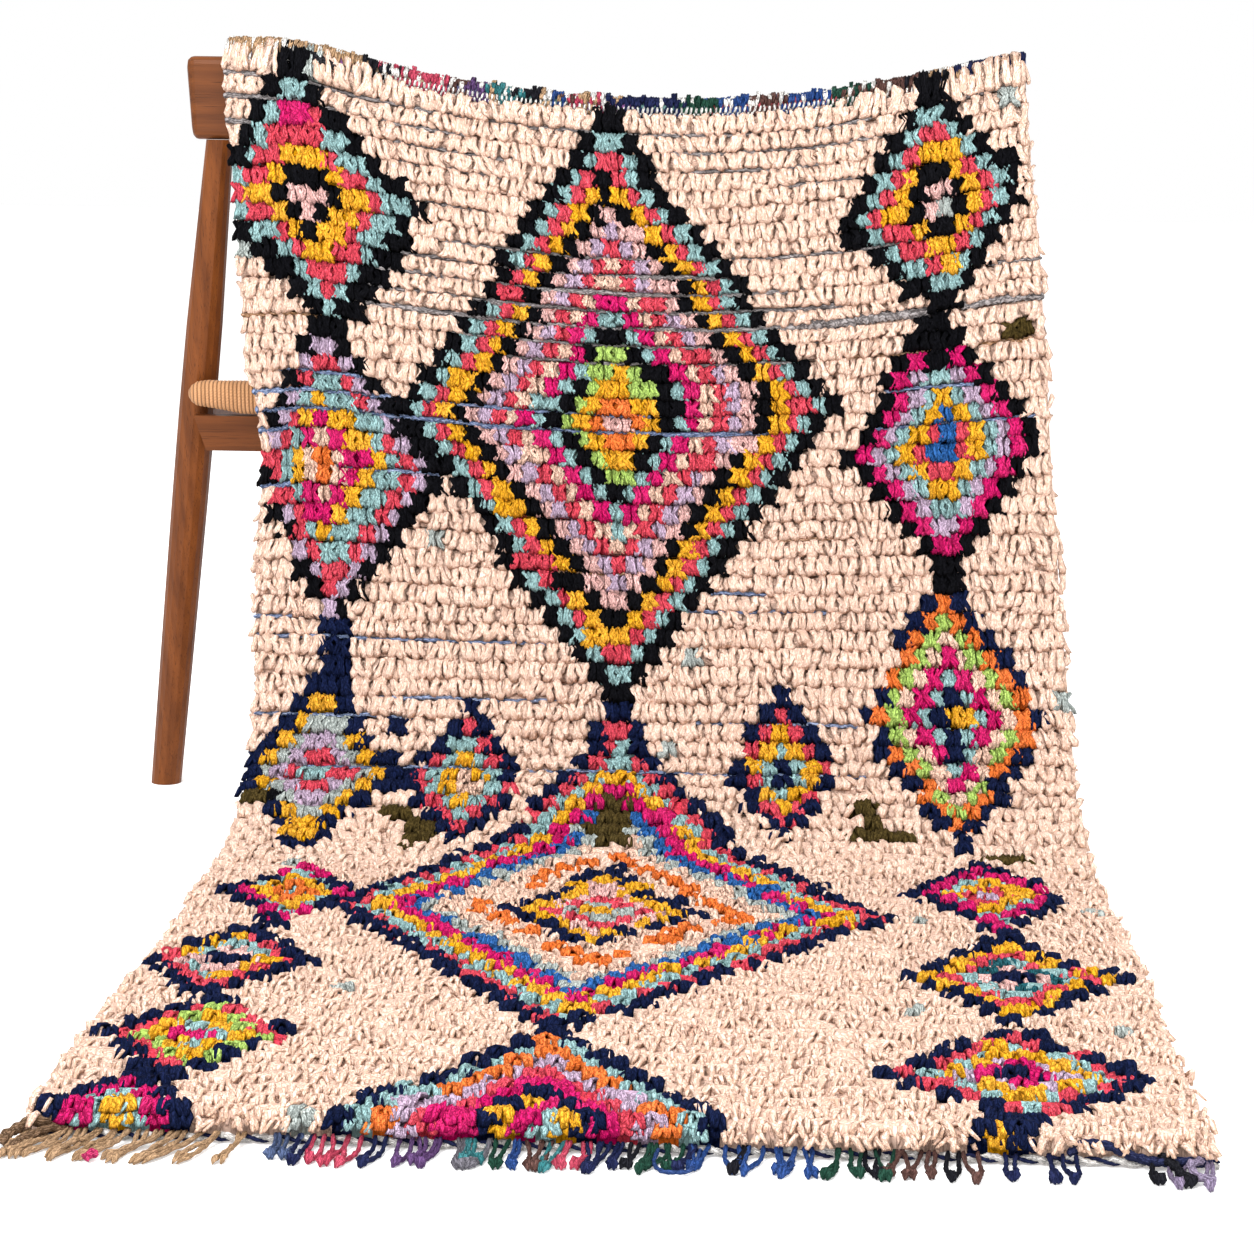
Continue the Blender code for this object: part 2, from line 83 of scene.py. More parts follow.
def speckle(i, j=0.0, k=0.0):
    """A fixed value from 0 to 1 for each set of numbers: the fraction of a large sine."""
    n = np.sin(np.asarray(i) * 12.9898 + np.asarray(j) * 78.233
               + np.asarray(k) * 37.719 + 4.137) * 43758.5453
    return n - np.floor(n)


def eased(a, b, x):
    """0 at a, 1 at b, with a cubic between; b may be the smaller."""
    t = np.clip((np.asarray(x) - a) / (b - a), 0.0, 1.0)
    return t * t * (3.0 - 2.0 * t)


def sag(x):
    """0 at the rug's corners, 1 mid rail: one less the square of x, to the power 1.2."""
    return np.maximum(0.0, 1.0 - (np.asarray(x) / SAG_HALF) ** 2) ** 1.2


def level_cubic(t, v, at):
    """Cubic through (t, v) whose slopes are harmonic means, so it never overshoots."""
    h = np.diff(t)
    d = np.diff(v) / h
    with np.errstate(divide="ignore", invalid="ignore"):
        w1, w2 = 2 * h[1:] + h[:-1], h[1:] + 2 * h[:-1]
        inner = np.where(d[:-1] * d[1:] > 0, (w1 + w2) / (w1 / d[:-1] + w2 / d[1:]), 0.0)
    m = np.concatenate([d[:1], inner, d[-1:]])
    k = np.clip(np.searchsorted(t, at) - 1, 0, len(h) - 1)
    s = (at - t[k]) / h[k]
    return ((1 + 2 * s) * (1 - s) ** 2 * v[k] + s * (1 - s) ** 2 * h[k] * m[k]
            + s * s * (3 - 2 * s) * v[k + 1] + s * s * (s - 1) * h[k] * m[k + 1])


def run_of(y, z):
    """Distance along a line of points, from its first."""
    return np.concatenate([[0.0], np.cumsum(np.hypot(np.diff(y), np.diff(z)))])


_Y, _Z = (np.array([row[k] for row in DRAPE]) for k in (1, 2))
_T = run_of(_Y, _Z)
_FINE = np.linspace(0.0, _T[-1], 6001)
CURVE_Y, CURVE_Z = level_cubic(_T, _Y, _FINE), level_cubic(_T, _Z, _FINE)
CURVE_S = run_of(CURVE_Y, CURVE_Z)
CURVE_END = float(CURVE_S[-1])
# distance along the cloth, from its near end, of each named place
ALONG = {row[0]: float(np.interp(t, _FINE, CURVE_S)) for row, t in zip(DRAPE, _T)}
PILE_TOP = ALONG["rail_front"] - 0.002
RAIL_STATIONS = LEAN + (RUG_WIDTH / 2 - 0.006) * (np.arange(17) / 8.0 - 1.0)
RAIL_SAGS = sag(RAIL_STATIONS)


def row_edge(r, rows):
    """Distance from the near end of the upper edge of row r; rows grow a little downward."""
    def down(k):
        return ROW_PITCH * k + ROW_GROWTH * k * k
    return PILE_TOP - PILE_TOP / down(rows) * down(np.asarray(r, dtype=float))


def row_line(r, x, rows):
    """Distance from the near end of the upper edge of row r at x across the rug.

    Below the head's corners the rows tilt: they start up to 16 mm higher at the
    rug's sides, the first row over a wider stretch, and on the left they run a
    little low from the fifth row on.
    """
    edge = row_edge(r, rows)
    below, side = PILE_TOP - edge, np.asarray(x) / (RUG_WIDTH / 2)
    reach = np.where(np.asarray(r) < 0.5, eased(-0.45, -0.95, side),
                     np.clip((-side - 0.66) / 0.34, 0.0, 1.0))
    left = 0.0160 * reach * eased(0.085, 0.0, below) \
        - 0.0086 * eased(-0.5, -1.0, side) * eased(0.03, 0.10, below) * eased(0.50, 0.20, below)
    right = 0.0150 * np.clip((side - 0.50) / 0.50, 0.0, 1.0) \
        * (1.0 - 0.45 * eased(0.0, 0.10, below)) * eased(0.35, 0.12, below)
    return edge + left + right


def laid_at(along):
    """1 where the cloth lies on the floor, 0 where it hangs."""
    return 1.0 - eased(ALONG["touches_down"] + 0.02, ALONG["knee"] + 0.03, along)


def band_face(along, x):
    """Height of the rolled band over the drape: it swells towards the rug's corners."""
    roll = np.interp(along, [ALONG[name] for name, _ in BAND], [thick for _, thick in BAND])
    side = np.asarray(x) / (RUG_WIDTH / 2)
    swell = 0.0125 * eased(-0.45, -0.95, side) + 0.0090 * eased(0.45, 1.0, side)
    return 0.62 * roll + swell * np.clip((roll - 0.0072) / 0.0048, 0.0, 1.0)


def in_frame(x, y, z):
    """Points from cloth coordinates to the frame's."""
    return np.stack([x - ORIGIN[0], y - ORIGIN[1], z], axis=-1)


def cloth_point(x, along, lift):
    """Place of cloth coordinates in the frame.

    The drape's curve gives y and z at that distance; lift goes along the
    curve's normal; the rug then leans left with height, drops with the rail's
    scoop, and its left edge curls back at seat height.
    """
    x, along, lift = np.broadcast_arrays(x, along, lift)
    on = np.clip(along, 0.0, CURVE_END)
    y = np.interp(on, CURVE_S, CURVE_Y) + np.minimum(along, 0.0)
    z = np.interp(on, CURVE_S, CURVE_Z) - np.maximum(along - CURVE_END, 0.0)
    ahead, behind = np.minimum(on + 0.002, CURVE_END), np.maximum(on - 0.002, 0.0)
    ty, tz = (np.interp(ahead, CURVE_S, curve) - np.interp(behind, CURVE_S, curve)
              for curve in (CURVE_Y, CURVE_Z))
    size = np.hypot(ty, tz)
    over = along > ALONG["rail_front"] - 0.004
    px = x + np.where(over, LEAN, LEAN * np.clip((z - 0.12) / 0.68, 0.0, 1.0))
    px = px + 0.010 * np.exp(-((along - 0.50) / 0.20) ** 2)
    px = px + np.where(over, 0.0, 0.007 * eased(0.60, 0.90, along) * eased(0.83, 0.60, z))
    curl = np.where(over, 0.0, np.exp(-((z - 0.41) / 0.085) ** 2) * eased(0.36, 0.46, -x))
    px = px + 0.014 * curl
    dip = RAIL_SAG * np.where(over, np.interp(px, RAIL_STATIONS, RAIL_SAGS),
                              sag(px) * eased(0.06, 0.83, z))
    return in_frame(px, y - tz / size * lift + 0.014 * curl,
                    z + ty / size * lift - dip - 0.010 * curl)


# ------------------------------------------------------------------ mesh making
def outward(points, corners, counts):
    """The faces, all turned over where the volume that they enclose is negative."""
    quads = corners[:int((counts == 4).sum()) * 4].reshape(-1, 4)
    a, b, c, d = (points[quads[:, k]] for k in range(4))
    middle = points.mean(axis=0)
    volume = (np.einsum("ij,ij->i", a - middle, np.cross(b - middle, c - middle)).sum()
              + np.einsum("ij,ij->i", a - middle, np.cross(c - middle, d - middle)).sum())
    if volume >= 0:
        return corners
    starts = np.cumsum(counts) - counts
    order = np.repeat(starts + counts - 1, counts) - (
        np.arange(len(corners)) - np.repeat(starts, counts))
    return corners[order]


def add_piece(name, points, corners, counts, finish, slot, maps=None, tones=None,
              folds=None, tints=None, under=None):
    """Makes one mesh piece from flat arrays and lets it ride on the root body.

    points: places; corners: the vertex numbers of all faces one after another,
    the quads first; counts: how many corners each face has. maps, tones and
    folds go with the points, tints and under with the faces.
    """
    points = np.ascontiguousarray(points, dtype=np.float64).reshape(-1, 3)
    corners = outward(points, corners, counts)
    mesh = bpy.data.meshes.new(name)
    mesh.vertices.add(len(points))
    mesh.vertices.foreach_set("co", points.ravel())
    mesh.loops.add(len(corners))
    mesh.loops.foreach_set("vertex_index", corners.astype(np.int32))
    mesh.polygons.add(len(counts))
    mesh.polygons.foreach_set("loop_start", (np.cumsum(counts) - counts).astype(np.int32))
    mesh.update(calc_edges=True)

    def write(layer, key, values):
        layer.data.foreach_set(key, values.astype(np.float32).ravel())

    if maps is not None:
        write(mesh.uv_layers.new(name="Strip"), "uv", maps.reshape(-1, 2)[corners])
    for label, place, values in (("Tone", "POINT", tones), ("Fold", "POINT", folds),
                                 ("Underside", "FACE", under)):
        if values is not None:
            write(mesh.attributes.new(label, "FLOAT", place), "value", values)
    if tints is not None:
        four = np.ones((len(corners), 4))
        four[:, :3] = np.repeat(tints, counts, axis=0)
        write(mesh.attributes.new("Knot colour", "FLOAT_COLOR", "CORNER"), "color", four)
    mesh.shade_smooth()
    mesh.validate()
    mesh.materials.append(finish)
    obj = bpy.data.objects.new(name, mesh)
    bpy.context.scene.collection.objects.link(obj)
    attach(obj, "root")
    return obj


def tube_faces(count, stations, ring):
    """Faces of closed tubes: quads between neighbouring rings, and a cap at each end."""
    i, k = np.meshgrid(np.arange(stations - 1), np.arange(ring), indexing="ij")
    n = (k + 1) % ring
    quads = np.stack([i * ring + k, i * ring + n, (i + 1) * ring + n, (i + 1) * ring + k],
                     axis=-1).reshape(-1, 4)
    caps = np.stack([np.arange(ring)[::-1], (stations - 1) * ring + np.arange(ring)])
    base = np.arange(count)[:, None, None] * stations * ring
    corners = np.concatenate([(quads[None] + base).ravel(), (caps[None] + base).ravel()])
    counts = np.concatenate([np.full(count * len(quads), 4), np.full(count * 2, ring)])
    return corners, counts


def add_tubes(name, parts, finish, slot, **more):
    """Adds many like tubes as one piece.

    parts: their points (tube, station, place in the ring), maps, tones and folds.
    """
    corners, counts = tube_faces(*parts[0].shape[:3])
    return add_piece(name, parts[0], corners, counts, finish, slot, *parts[1:], **more)


def joined(lots):
    """The parts of several lots of tubes, as the parts of one."""
    return tuple(np.concatenate(part) for part in zip(*lots))


def sheet_faces(n, m, order):
    """Faces of a closed sheet: two n by m grids and a strip of quads round their rim.

    Returns the corners, four to a face, and how many faces are in each of the
    three; the order of a face's corners sets which way it faces.
    """
    i, j = np.meshgrid(np.arange(n - 1), np.arange(m - 1), indexing="ij")
    upper = np.stack([i * m + j, i * m + j + 1, (i + 1) * m + j + 1, (i + 1) * m + j], -1)
    upper = upper.reshape(-1, 4)[:, order]
    rim = np.concatenate([np.arange(m), np.arange(1, n) * m + m - 1,
                          (n - 1) * m + np.arange(m - 2, -1, -1), np.arange(n - 2, 0, -1) * m])
    after = np.roll(rim, -1)
    side = np.stack([rim, rim + n * m, after + n * m, after], -1)[:, order]
    lots = (upper, upper[:, ::-1] + n * m, side)
    return np.concatenate(lots).ravel(), [len(lot) for lot in lots]


# Sections of a strip: shares of its half width and of its thickness, and how far each
# point lies in a fold; where this is high, the rag finish paints shade into the colour.
FOLDED = np.array(((-1.0, -0.56, 0.0, 0.56, 1.0, 0.0), (0.0, 1.0, 0.0, 1.0, 0.0, -0.55),
                   (1.0, 0.1, 0.9, 0.1, 1.0, 1.0)))
CREASED = np.array(((-1.0, -0.50, 0.40, 1.0, 0.0), (0.0, 1.0, 0.0, 0.0, -0.60),
                    (1.0, 0.2, 0.3, 1.0, 1.0)))
NARROW = np.array(((-1.0, 0.2, 1.0, -0.1), (0.0, 1.0, 0.0, -0.80), (0.95, 0.2, 0.95, 1.0)))


def rag_strips(x, along, lift, half, thick, valley, turn, seed, section=FOLDED):
    """Folded rag strips in cloth coordinates.

    Each strip follows its spine (x, along, lift); its section, whose third point
    is as high as the valley says, is turned about the spine and is half wide
    and thick as given at each station.
    """
    step_s, step_l = np.gradient(along, axis=1), np.gradient(lift, axis=1)
    size = np.hypot(step_s, step_l) + 1e-9
    out_s, out_l = step_l / size, -step_s / size
    deep = np.repeat(section[1][None], len(x), axis=0)
    if valley is not None:
        deep[:, 2] = valley
    a = half[..., None] * section[0]
    b = thick[..., None] * deep[:, None, :]
    c, s = np.cos(turn)[..., None], np.sin(turn)[..., None]
    across, out = a * c - b * s, a * s + b * c
    points = cloth_point(x[..., None] + across, along[..., None] + out * out_s[..., None],
                         lift[..., None] + out * out_l[..., None])
    run = np.cumsum(size, axis=1)[..., None] + np.zeros(len(section[0]))
    maps = np.stack([a + 0.37 * speckle(seed, 1)[:, None, None],
                     run + 0.53 * speckle(seed, 2)[:, None, None]], axis=-1)
    return points, maps


# --------------------------------------------------------------------- the chart
PALETTE = {   # colours of the rags, as light reflected per channel
    "cream": (0.880, 0.625, 0.502), "seafoam": (0.340, 0.570, 0.575),
    "coral": (0.830, 0.062, 0.105), "yellow": (0.950, 0.440, 0.006),
    "black": (0.0030, 0.0030, 0.0048), "navy": (0.005, 0.011, 0.050),
    "pink": (0.930, 0.530, 0.490), "lilac": (0.620, 0.450, 0.620),
    "magenta": (0.680, 0.002, 0.140), "lime": (0.430, 0.640, 0.130),
    "orange": (0.930, 0.190, 0.024), "royal": (0.020, 0.125, 0.400),
    "peach": (0.930, 0.600, 0.455), "teal": (0.014, 0.100, 0.125),
    "olive": (0.080, 0.054, 0.013), "mist": (0.500, 0.560, 0.530),
}
NAMES = list(PALETTE)
COLOURS = np.array(list(PALETTE.values()))

# Diamonds: middle row, rows up, rows down, middle column, columns to the left and to
# the right, and the rings inwards. Some lean: how far the upper and the lower half lean
# a row, and how far the middle row climbs a column.
DIAMONDS = (
    (17.2, 17.8, 16.4, 26.9, 15.9, 15.9,
     "black seafoam coral yellow black pink lilac coral peach magenta seafoam black lime "
     "yellow orange pink", 0.060, -0.048, 0.025),
    (53.4, 20.8, 16.0, 26.0, 17.1, 17.8,
     "navy coral seafoam yellow magenta royal mist peach cream orange cream peach navy yellow "
     "pink coral mist yellow", 0.0, -0.045, 0.0),
    (79.0, 10.4, 10.4, 25.2, 11.8, 9.7,
     "navy seafoam orange lilac coral magenta navy yellow magenta seafoam yellow"),
    (6.5, 6.6, 7.9, 5.2, 7.5, 9.2, "black seafoam coral yellow black pink", -0.06, 0.24, 0.0),
    (20.9, 8.2, 9.0, 5.6, 6.2, 9.0,
     "black lilac coral seafoam yellow magenta peach orange", 0.03, 0.0, 0.0),
    (37.4, 6.3, 6.9, 5.0, 5.4, 5.9, "navy yellow mist lilac coral seafoam"),
    (51.4, 5.0, 5.3, 6.4, 4.0, 4.6, "navy magenta seafoam yellow orange seafoam"),
    (61.4, 5.1, 5.3, 5.0, 5.4, 4.8, "navy coral yellow seafoam pink navy"),
    (70.4, 4.9, 4.9, 6.3, 5.5, 5.2, "navy coral lime yellow seafoam magenta"),
    (79.0, 4.6, 4.6, 4.4, 5.6, 5.6, "navy magenta seafoam yellow pink"),
    (6.0, 6.4, 6.6, 51.0, 7.7, 6.6, "black seafoam coral yellow black pink", 0.0, 0.0, 0.10),
    (19.3, 8.2, 7.5, 50.2, 7.1, 7.0, "black magenta lilac seafoam yellow coral royal"),
    (33.4, 7.5, 9.3, 49.6, 6.6, 6.6, "navy orange lime peach magenta seafoam navy yellow"),
    (49.5, 6.0, 6.2, 50.4, 5.3, 4.9, "navy magenta seafoam yellow coral lilac"),
    (61.4, 5.5, 5.5, 49.9, 5.7, 6.8, "navy yellow coral seafoam teal pink navy"),
    (72.6, 5.2, 4.6, 49.3, 7.3, 7.2, "navy coral seafoam yellow lilac magenta navy"),
    (38.0, 5.2, 5.5, 15.4, 4.4, 4.4, "navy coral seafoam yellow peach"),
    (36.9, 5.0, 5.4, 37.6, 4.1, 4.1, "navy coral yellow seafoam navy"),
)
# Single patches of knots: first and last row, first and last column, colour.
PATCHES = (
    (29, 32, 5, 6, "navy"), (40, 40, 10, 11, "olive"), (41, 42, 12, 13, "olive"),
    (43, 43, 12, 12, "olive"), (39, 42, 25, 26, "olive"), (41, 41, 24, 24, "olive"),
    (39, 39, 42, 43, "olive"), (40, 40, 43, 43, "olive"), (41, 41, 42, 45, "olive"),
    (43, 43, 51, 53, "olive"), (13, 13, 55, 56, "olive"), (36, 38, 10, 10, "navy"),
    (34, 34, 10, 10, "navy"), (77, 77, 46, 48, "navy"), (76, 76, 47, 48, "navy"),
    (77, 77, 47, 47, "yellow"), (6, 6, 51, 51, "mist"), (2, 2, 4, 5, "magenta"),
    (13, 14, 49, 50, "black"), (26, 26, 49, 50, "black"), (39, 39, 0, 1, "olive"),
    (39, 39, 2, 2, "black"),
)


def knot_chart(rows, across):
    """The colour number of each knot.

    A diamond holds the knots whose rows and columns away from its middle, as
    shares of its reach, add to less than one; what is left of one, times the
    number of rings, gives the ring. A few knots take the next ring's rag.
    """
    r, c = np.meshgrid(np.arange(rows), np.arange(across), indexing="ij")
    chart = np.zeros((rows, across), dtype=int)
    for n, (mid_r, up, down, mid_c, left, right, rings, *leans) in enumerate(DIAMONDS):
        lean_up, lean_down, climb = leans or (0.0, 0.0, 0.0)
        names = np.array([NAMES.index(word) for word in rings.split()])
        away = r + 0.5 - mid_r + climb * (c + 0.5 - mid_c)
        beside = c + 0.5 - mid_c - np.abs(away) * np.where(away < 0, lean_up, lean_down)
        reach = np.abs(away) / np.where(away < 0, up, down) \
            + np.abs(beside) / np.where(beside < 0, left, right)
        ring = np.floor((1.0 - reach) * len(names))
        stray = (speckle(r, c, n) > 0.955) & (ring > 0)
        ring = np.clip(ring + stray, 0, len(names) - 1).astype(int)
        chart = np.where(reach < 1.0, names[ring], chart)
    for r0, r1, c0, c1, word in PATCHES:
        chart[r0:r1 + 1, c0:c1 + 1] = NAMES.index(word)
    odd = (chart == 0) & (speckle(r, c, 91) > 0.988)
    return np.where(odd, np.where(speckle(r, c, 92) > 0.5, NAMES.index("peach"),
                                  NAMES.index("mist")), chart)


WEFTS = {   # row edge, first and last column, passes
    "grey": ((1, 0, 3, 2), (1, 5, 27, 1), (1, 29, 47, 1), (1, 53, 57, 1), (2, 0, 4, 2),
             (2, 5, 18, 1), (2, 31, 51, 1), (3, 0, 2, 2), (3, 12, 21, 1), (3, 33, 44, 1),
             (4, 12, 20, 1), (4, 40, 46, 1), (6, 14, 19, 1), (8, 13, 56, 1), (9, 12, 22, 1),
             (9, 20, 36, 2), (10, 10, 42, 2), (10, 52, 58, 1), (11, 9, 20, 1),
             (11, 18, 44, 2), (12, 8, 41, 2), (11.9, 40, 50, 5), (11.9, 52, 58, 3),
             (13, 12, 42, 1), (14, 17, 40, 1)),
    "denim": ((16, 2, 9, 1), (17, 0, 12, 2), (18, 0, 7, 3), (18, 7, 38, 2), (19, 0, 3, 2),
              (17, 12, 36, 1), (21, 6, 14, 1), (22, 0, 3, 2), (16, 46, 53, 1), (18, 44, 57, 1),
              (29, 0, 5, 1), (30, 0, 22, 1), (33, 9, 22, 1), (34, 0, 12, 1), (37, 4, 44, 1),
              (28, 31, 42, 1), (34, 31, 43, 1), (27, 33, 37, 1), (56, 44, 47, 1),
              (68, 8, 11, 1)),
    "umber": ((14, 44, 50, 1), (14, 53, 57, 2), (24, 38, 44, 1), (26, 22, 28, 1),
              (13, 0, 6, 1)),
    "black": ((0.1, 1, 5, 1), (0.2, 5, 9, 1)),
}
WEFT_COLOURS = {"grey": (0.230, 0.200, 0.200), "denim": (0.140, 0.220, 0.440),
                "umber": (0.420, 0.190, 0.060), "black": (0.010, 0.010, 0.014)}


def weft_room(rows, across):
    """How much of a row's height the wefts at each row edge keep open, for each knot.

    A run of wefts opens like a lens: most in its middle, nothing at its ends.
    """
    room = np.zeros((rows + 2, across))
    c = np.arange(across) + 0.5
    for spans in WEFTS.values():
        for edge, c0, c1, passes in spans:
            u = np.clip((c - c0) / max(c1 - c0, 1.0), 0.0, 1.0)
            shape = np.minimum(1.0, 3.0 * np.sqrt(u * (1.0 - u)))
            k = int(round(edge))
            room[k] = np.maximum(room[k], (0.045 + 0.065 * passes) * shape)
    return room


# ---------------------------------------------------------------------- the pile
# A strip's five stations: share of the row downwards, lift over the drape, and shares
# of its half width and thickness, where the rug hangs and where it lies.
HANGING = np.array(((-0.05, 0.05, 0.40, 0.79, 1.03), (0.0106, 0.0172, 0.0190, 0.0216, 0.0166),
                    (0.66, 1.02, 0.72, 1.12, 0.80), (0.60, 0.90, 0.80, 1.00, 0.60)))
ON_FLOOR = np.array(((0.16, 0.16, 0.40, 0.84, 1.22), (0.0040, 0.0130, 0.0205, 0.0232, 0.0180),
                     (0.80, 1.00, 1.12, 1.15, 0.78), (0.70, 0.90, 1.00, 0.95, 0.55)))
STATIONS = 5
KINDS = {   # where a knot's strips stand in it, their half width as a share, and section
    "folded": ((-0.30, 0.30, 0.0), 0.245, FOLDED),
    "loose": ((-0.33, 0.02, 0.35), 0.30, CREASED),
    "narrow": ((-0.38, -0.12, 0.13, 0.37), 0.155, NARROW),
}
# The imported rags' five-sided section: share of the row downwards, and lift.
PACKED_HANGING = np.array(((0.06, 0.14, 0.50, 0.88, 0.97),
                           (0.0040, 0.0130, 0.0154, 0.0136, 0.0040)))
PACKED_ON_FLOOR = np.array(((0.10, 0.15, 0.50, 0.95, 1.04),
                            (0.0040, 0.0178, 0.0226, 0.0210, 0.0040)))


def pile_of(r, c, sizes, kind, plump, tall_share=1.0):
    """All strips of the knots at rows r and columns c.

    A hanging strip rises from the weave in an ear, is pinched by its knot and
    falls in a plump lobe to the next row; on the floor it stands up and leans
    over its front. The two paths are blended with the height of the cloth. The
    kinds are three folded strips that fan out at both ends, three loose wide
    crumpled petals that bend and overlap, and four narrow curling strips.
    """
    rows, across = sizes.knot_rows, sizes.knots_across
    pitch = sizes.rug_width / across
    spots, wide, section = KINDS[kind]
    room = weft_room(rows, across)
    whole = np.clip(np.round(r).astype(int), 0, rows)
    middle = pitch * (c + 0.5) - sizes.rug_width / 2
    top, low = row_line(r, middle, rows), row_line(r + 1, middle, rows)
    wave = 0.0013 * np.sin(0.31 * c + 2.1 * r) + 0.0016 * (speckle(r, c // 3) - 0.5)
    spot = np.tile(spots, len(r))
    knot, lean, shift, above, below, laid, top, low, r, c = (
        np.repeat(v, len(spots)) for v in (
            speckle(r, c, 18), speckle(r, c, 19) - 0.5, speckle(r, c, 29) - 0.5,
            room[whole, c], room[whole + 1, c], laid_at(top), top + wave, low + wave,
            r + 0.0, c + 0.0))
    seed = r * 977.0 + c * 13.0 + spot * 7.3
    laid, tall = laid[:, None], (top - low)[:, None]

    def chance(k):
        return speckle(seed, k)[:, None]

    def own(k):
        return chance(k) - 0.5

    def at_each(k):
        return speckle(seed[:, None], np.arange(STATIONS), k) - 0.5

    def of_knot(k):
        return speckle(r, c, k)[:, None]

    u = np.linspace(0.0, 1.0, STATIONS)
    down, lift, half, thick = (a * (1.0 - laid) + b * laid for a, b in zip(HANGING, ON_FLOOR))
    thickness, valley, twist = 0.0027 + 0.0011 * plump, None, own(15)
    if kind == "loose":
        short = np.where(own(22) < -0.15, 0.12 + 0.24 * chance(23), 0.0)
        down = np.where(own(24) < 0.0, down * (1.0 - short), 1.0 - (1.0 - down) * (1.0 - short))
        down = (down - 0.5) * (1.04 + 0.10 * own(4)) + 0.5 + own(20) * (0.12 + 0.40 * laid)
        lift = lift * (1.0 + own(5) * 0.30) + at_each(6) * 0.0024
        half = half * (0.80 + 0.58 * chance(7))
        x_turn = (u - 0.5) * tall * own(11) + np.sin(math.pi * u) * own(21) * pitch * 0.5
        x_turn = x_turn + own(10) * pitch * 0.34 + at_each(12) * 0.0014
        valley = 0.45 + 0.60 * speckle(seed, 14)
    elif kind == "narrow":
        down = (down - 0.6) * (0.75 + 0.5 * chance(4)) + 0.6 + own(20) * 0.55
        lift = lift * (1.0 + own(5) * 0.18) + at_each(6) * 0.0034 * (u > 0.1)
        half = half * (0.75 + 0.60 * chance(7))
        x_turn = (u - 0.4) * pitch * 1.5 * own(11) + np.sin(math.pi * u) * own(21) * pitch * 0.8
        x_turn = x_turn + own(10) * pitch * 0.30 + at_each(12) * 0.0036
        thickness = 0.0024
    else:
        inner = (spot == 0)[:, None]
        down = down + own(4) * u * 0.14 + (of_knot(25) - 0.5) * 0.14
        down = down + own(20) * (0.20 + 0.10 * laid)
        lift = lift * (1.0 + own(5) * 0.22) + at_each(6) * 0.0020 + 0.0010 * plump
        half = half * (0.90 + 0.36 * chance(7) + 0.16 * plump)
        half = half * (0.92 + 0.26 * of_knot(26))
        fan = np.interp(u, (0.0, 0.25, 0.5, 0.75, 1.0), (0.9, 1.0, -0.5, 0.7, 1.6))
        x_turn = np.sign(spot)[:, None] * 0.0026 * fan * (0.6 + 0.8 * of_knot(27))
        x_turn = x_turn + own(10) * pitch * (0.16 + 0.30 * inner)
        x_turn = x_turn + (u - 0.4) * 0.0054 * own(11) + at_each(12) * 0.0014
        x_turn = x_turn + shift[:, None] * pitch * 0.24
        lift = lift + inner * 0.0016 * own(28)
        valley, twist = 0.02 + 0.80 * speckle(seed, 14), twist * 0.7
    down = above[:, None] + down * (1.0 - above - below)[:, None]
    lift = lift * tall_share
    edge = np.where(c == 0, -1.0, np.where(c == across - 1, 1.0, 0.0))
    outer = (edge * spot > 0.2)[:, None]
    half = half * pitch * wide * (1.0 + at_each(8) * 0.24) * np.where(outer, 0.7, 1.0)
    thick = thick * thickness * (1.05 + 0.5 * own(9))
    x = (-sizes.rug_width / 2 + pitch * (c + 0.5 + spot))[:, None] + x_turn
    x = x + u * (0.0040 + 0.0020 * laid) * lean[:, None]
    x = x + edge[:, None] * (0.0030 * speckle(r, 13)[:, None] * u - 0.0022)
    lift = np.maximum(np.where(outer, lift * 0.72, lift), 0.0035)
    points, maps = rag_strips(x, top[:, None] - tall * down, lift, half, thick, valley,
                              twist + at_each(16) * 0.6, seed, section)
    # Both end stations count as deep in a fold, so the finish paints shade at each strip's root
    # and tip.
    ends = np.array([1.0, 0.0, 0.0, 0.0, 1.0])[:, None]
    folds = np.tile(np.maximum(section[2][None], ends).ravel(), len(seed))
    tones = np.repeat(0.5 * speckle(seed, 17) + 0.5 * knot, STATIONS * len(section[0]))
    return points, maps, tones, folds


def packed_rows(sizes):
    """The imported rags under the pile: a closed roll to each row of knots.

    Its five-sided section stands on the weave; each face takes the colour of
    the knot above it.
    """
    rows, across = sizes.knot_rows, sizes.knots_across
    r, i, k = np.meshgrid(np.arange(rows), np.arange(across + 1), np.arange(5), indexing="ij")
    x = (i / across - 0.5) * (sizes.rug_width - 0.006)
    top = row_line(r, x, rows)
    laid = laid_at(top)
    down, lift = (a[k] * (1.0 - laid) + b[k] * laid
                  for a, b in zip(PACKED_HANGING, PACKED_ON_FLOOR))
    lift = lift * (1.0 + np.where(lift > 0.006, 0.22 * (speckle(r, i, k) - 0.5), 0.0))
    points = cloth_point(x, top - (top - row_line(r + 1, x, rows)) * down, lift)
    colours = COLOURS[knot_chart(rows, across)]
    tints = np.concatenate([np.repeat(colours.reshape(-1, 3), 5, axis=0),
                            colours[:, [0, -1]].reshape(-1, 3)])
    return (points, np.stack([top * 1.3 + down * 0.02, x], -1)), tints


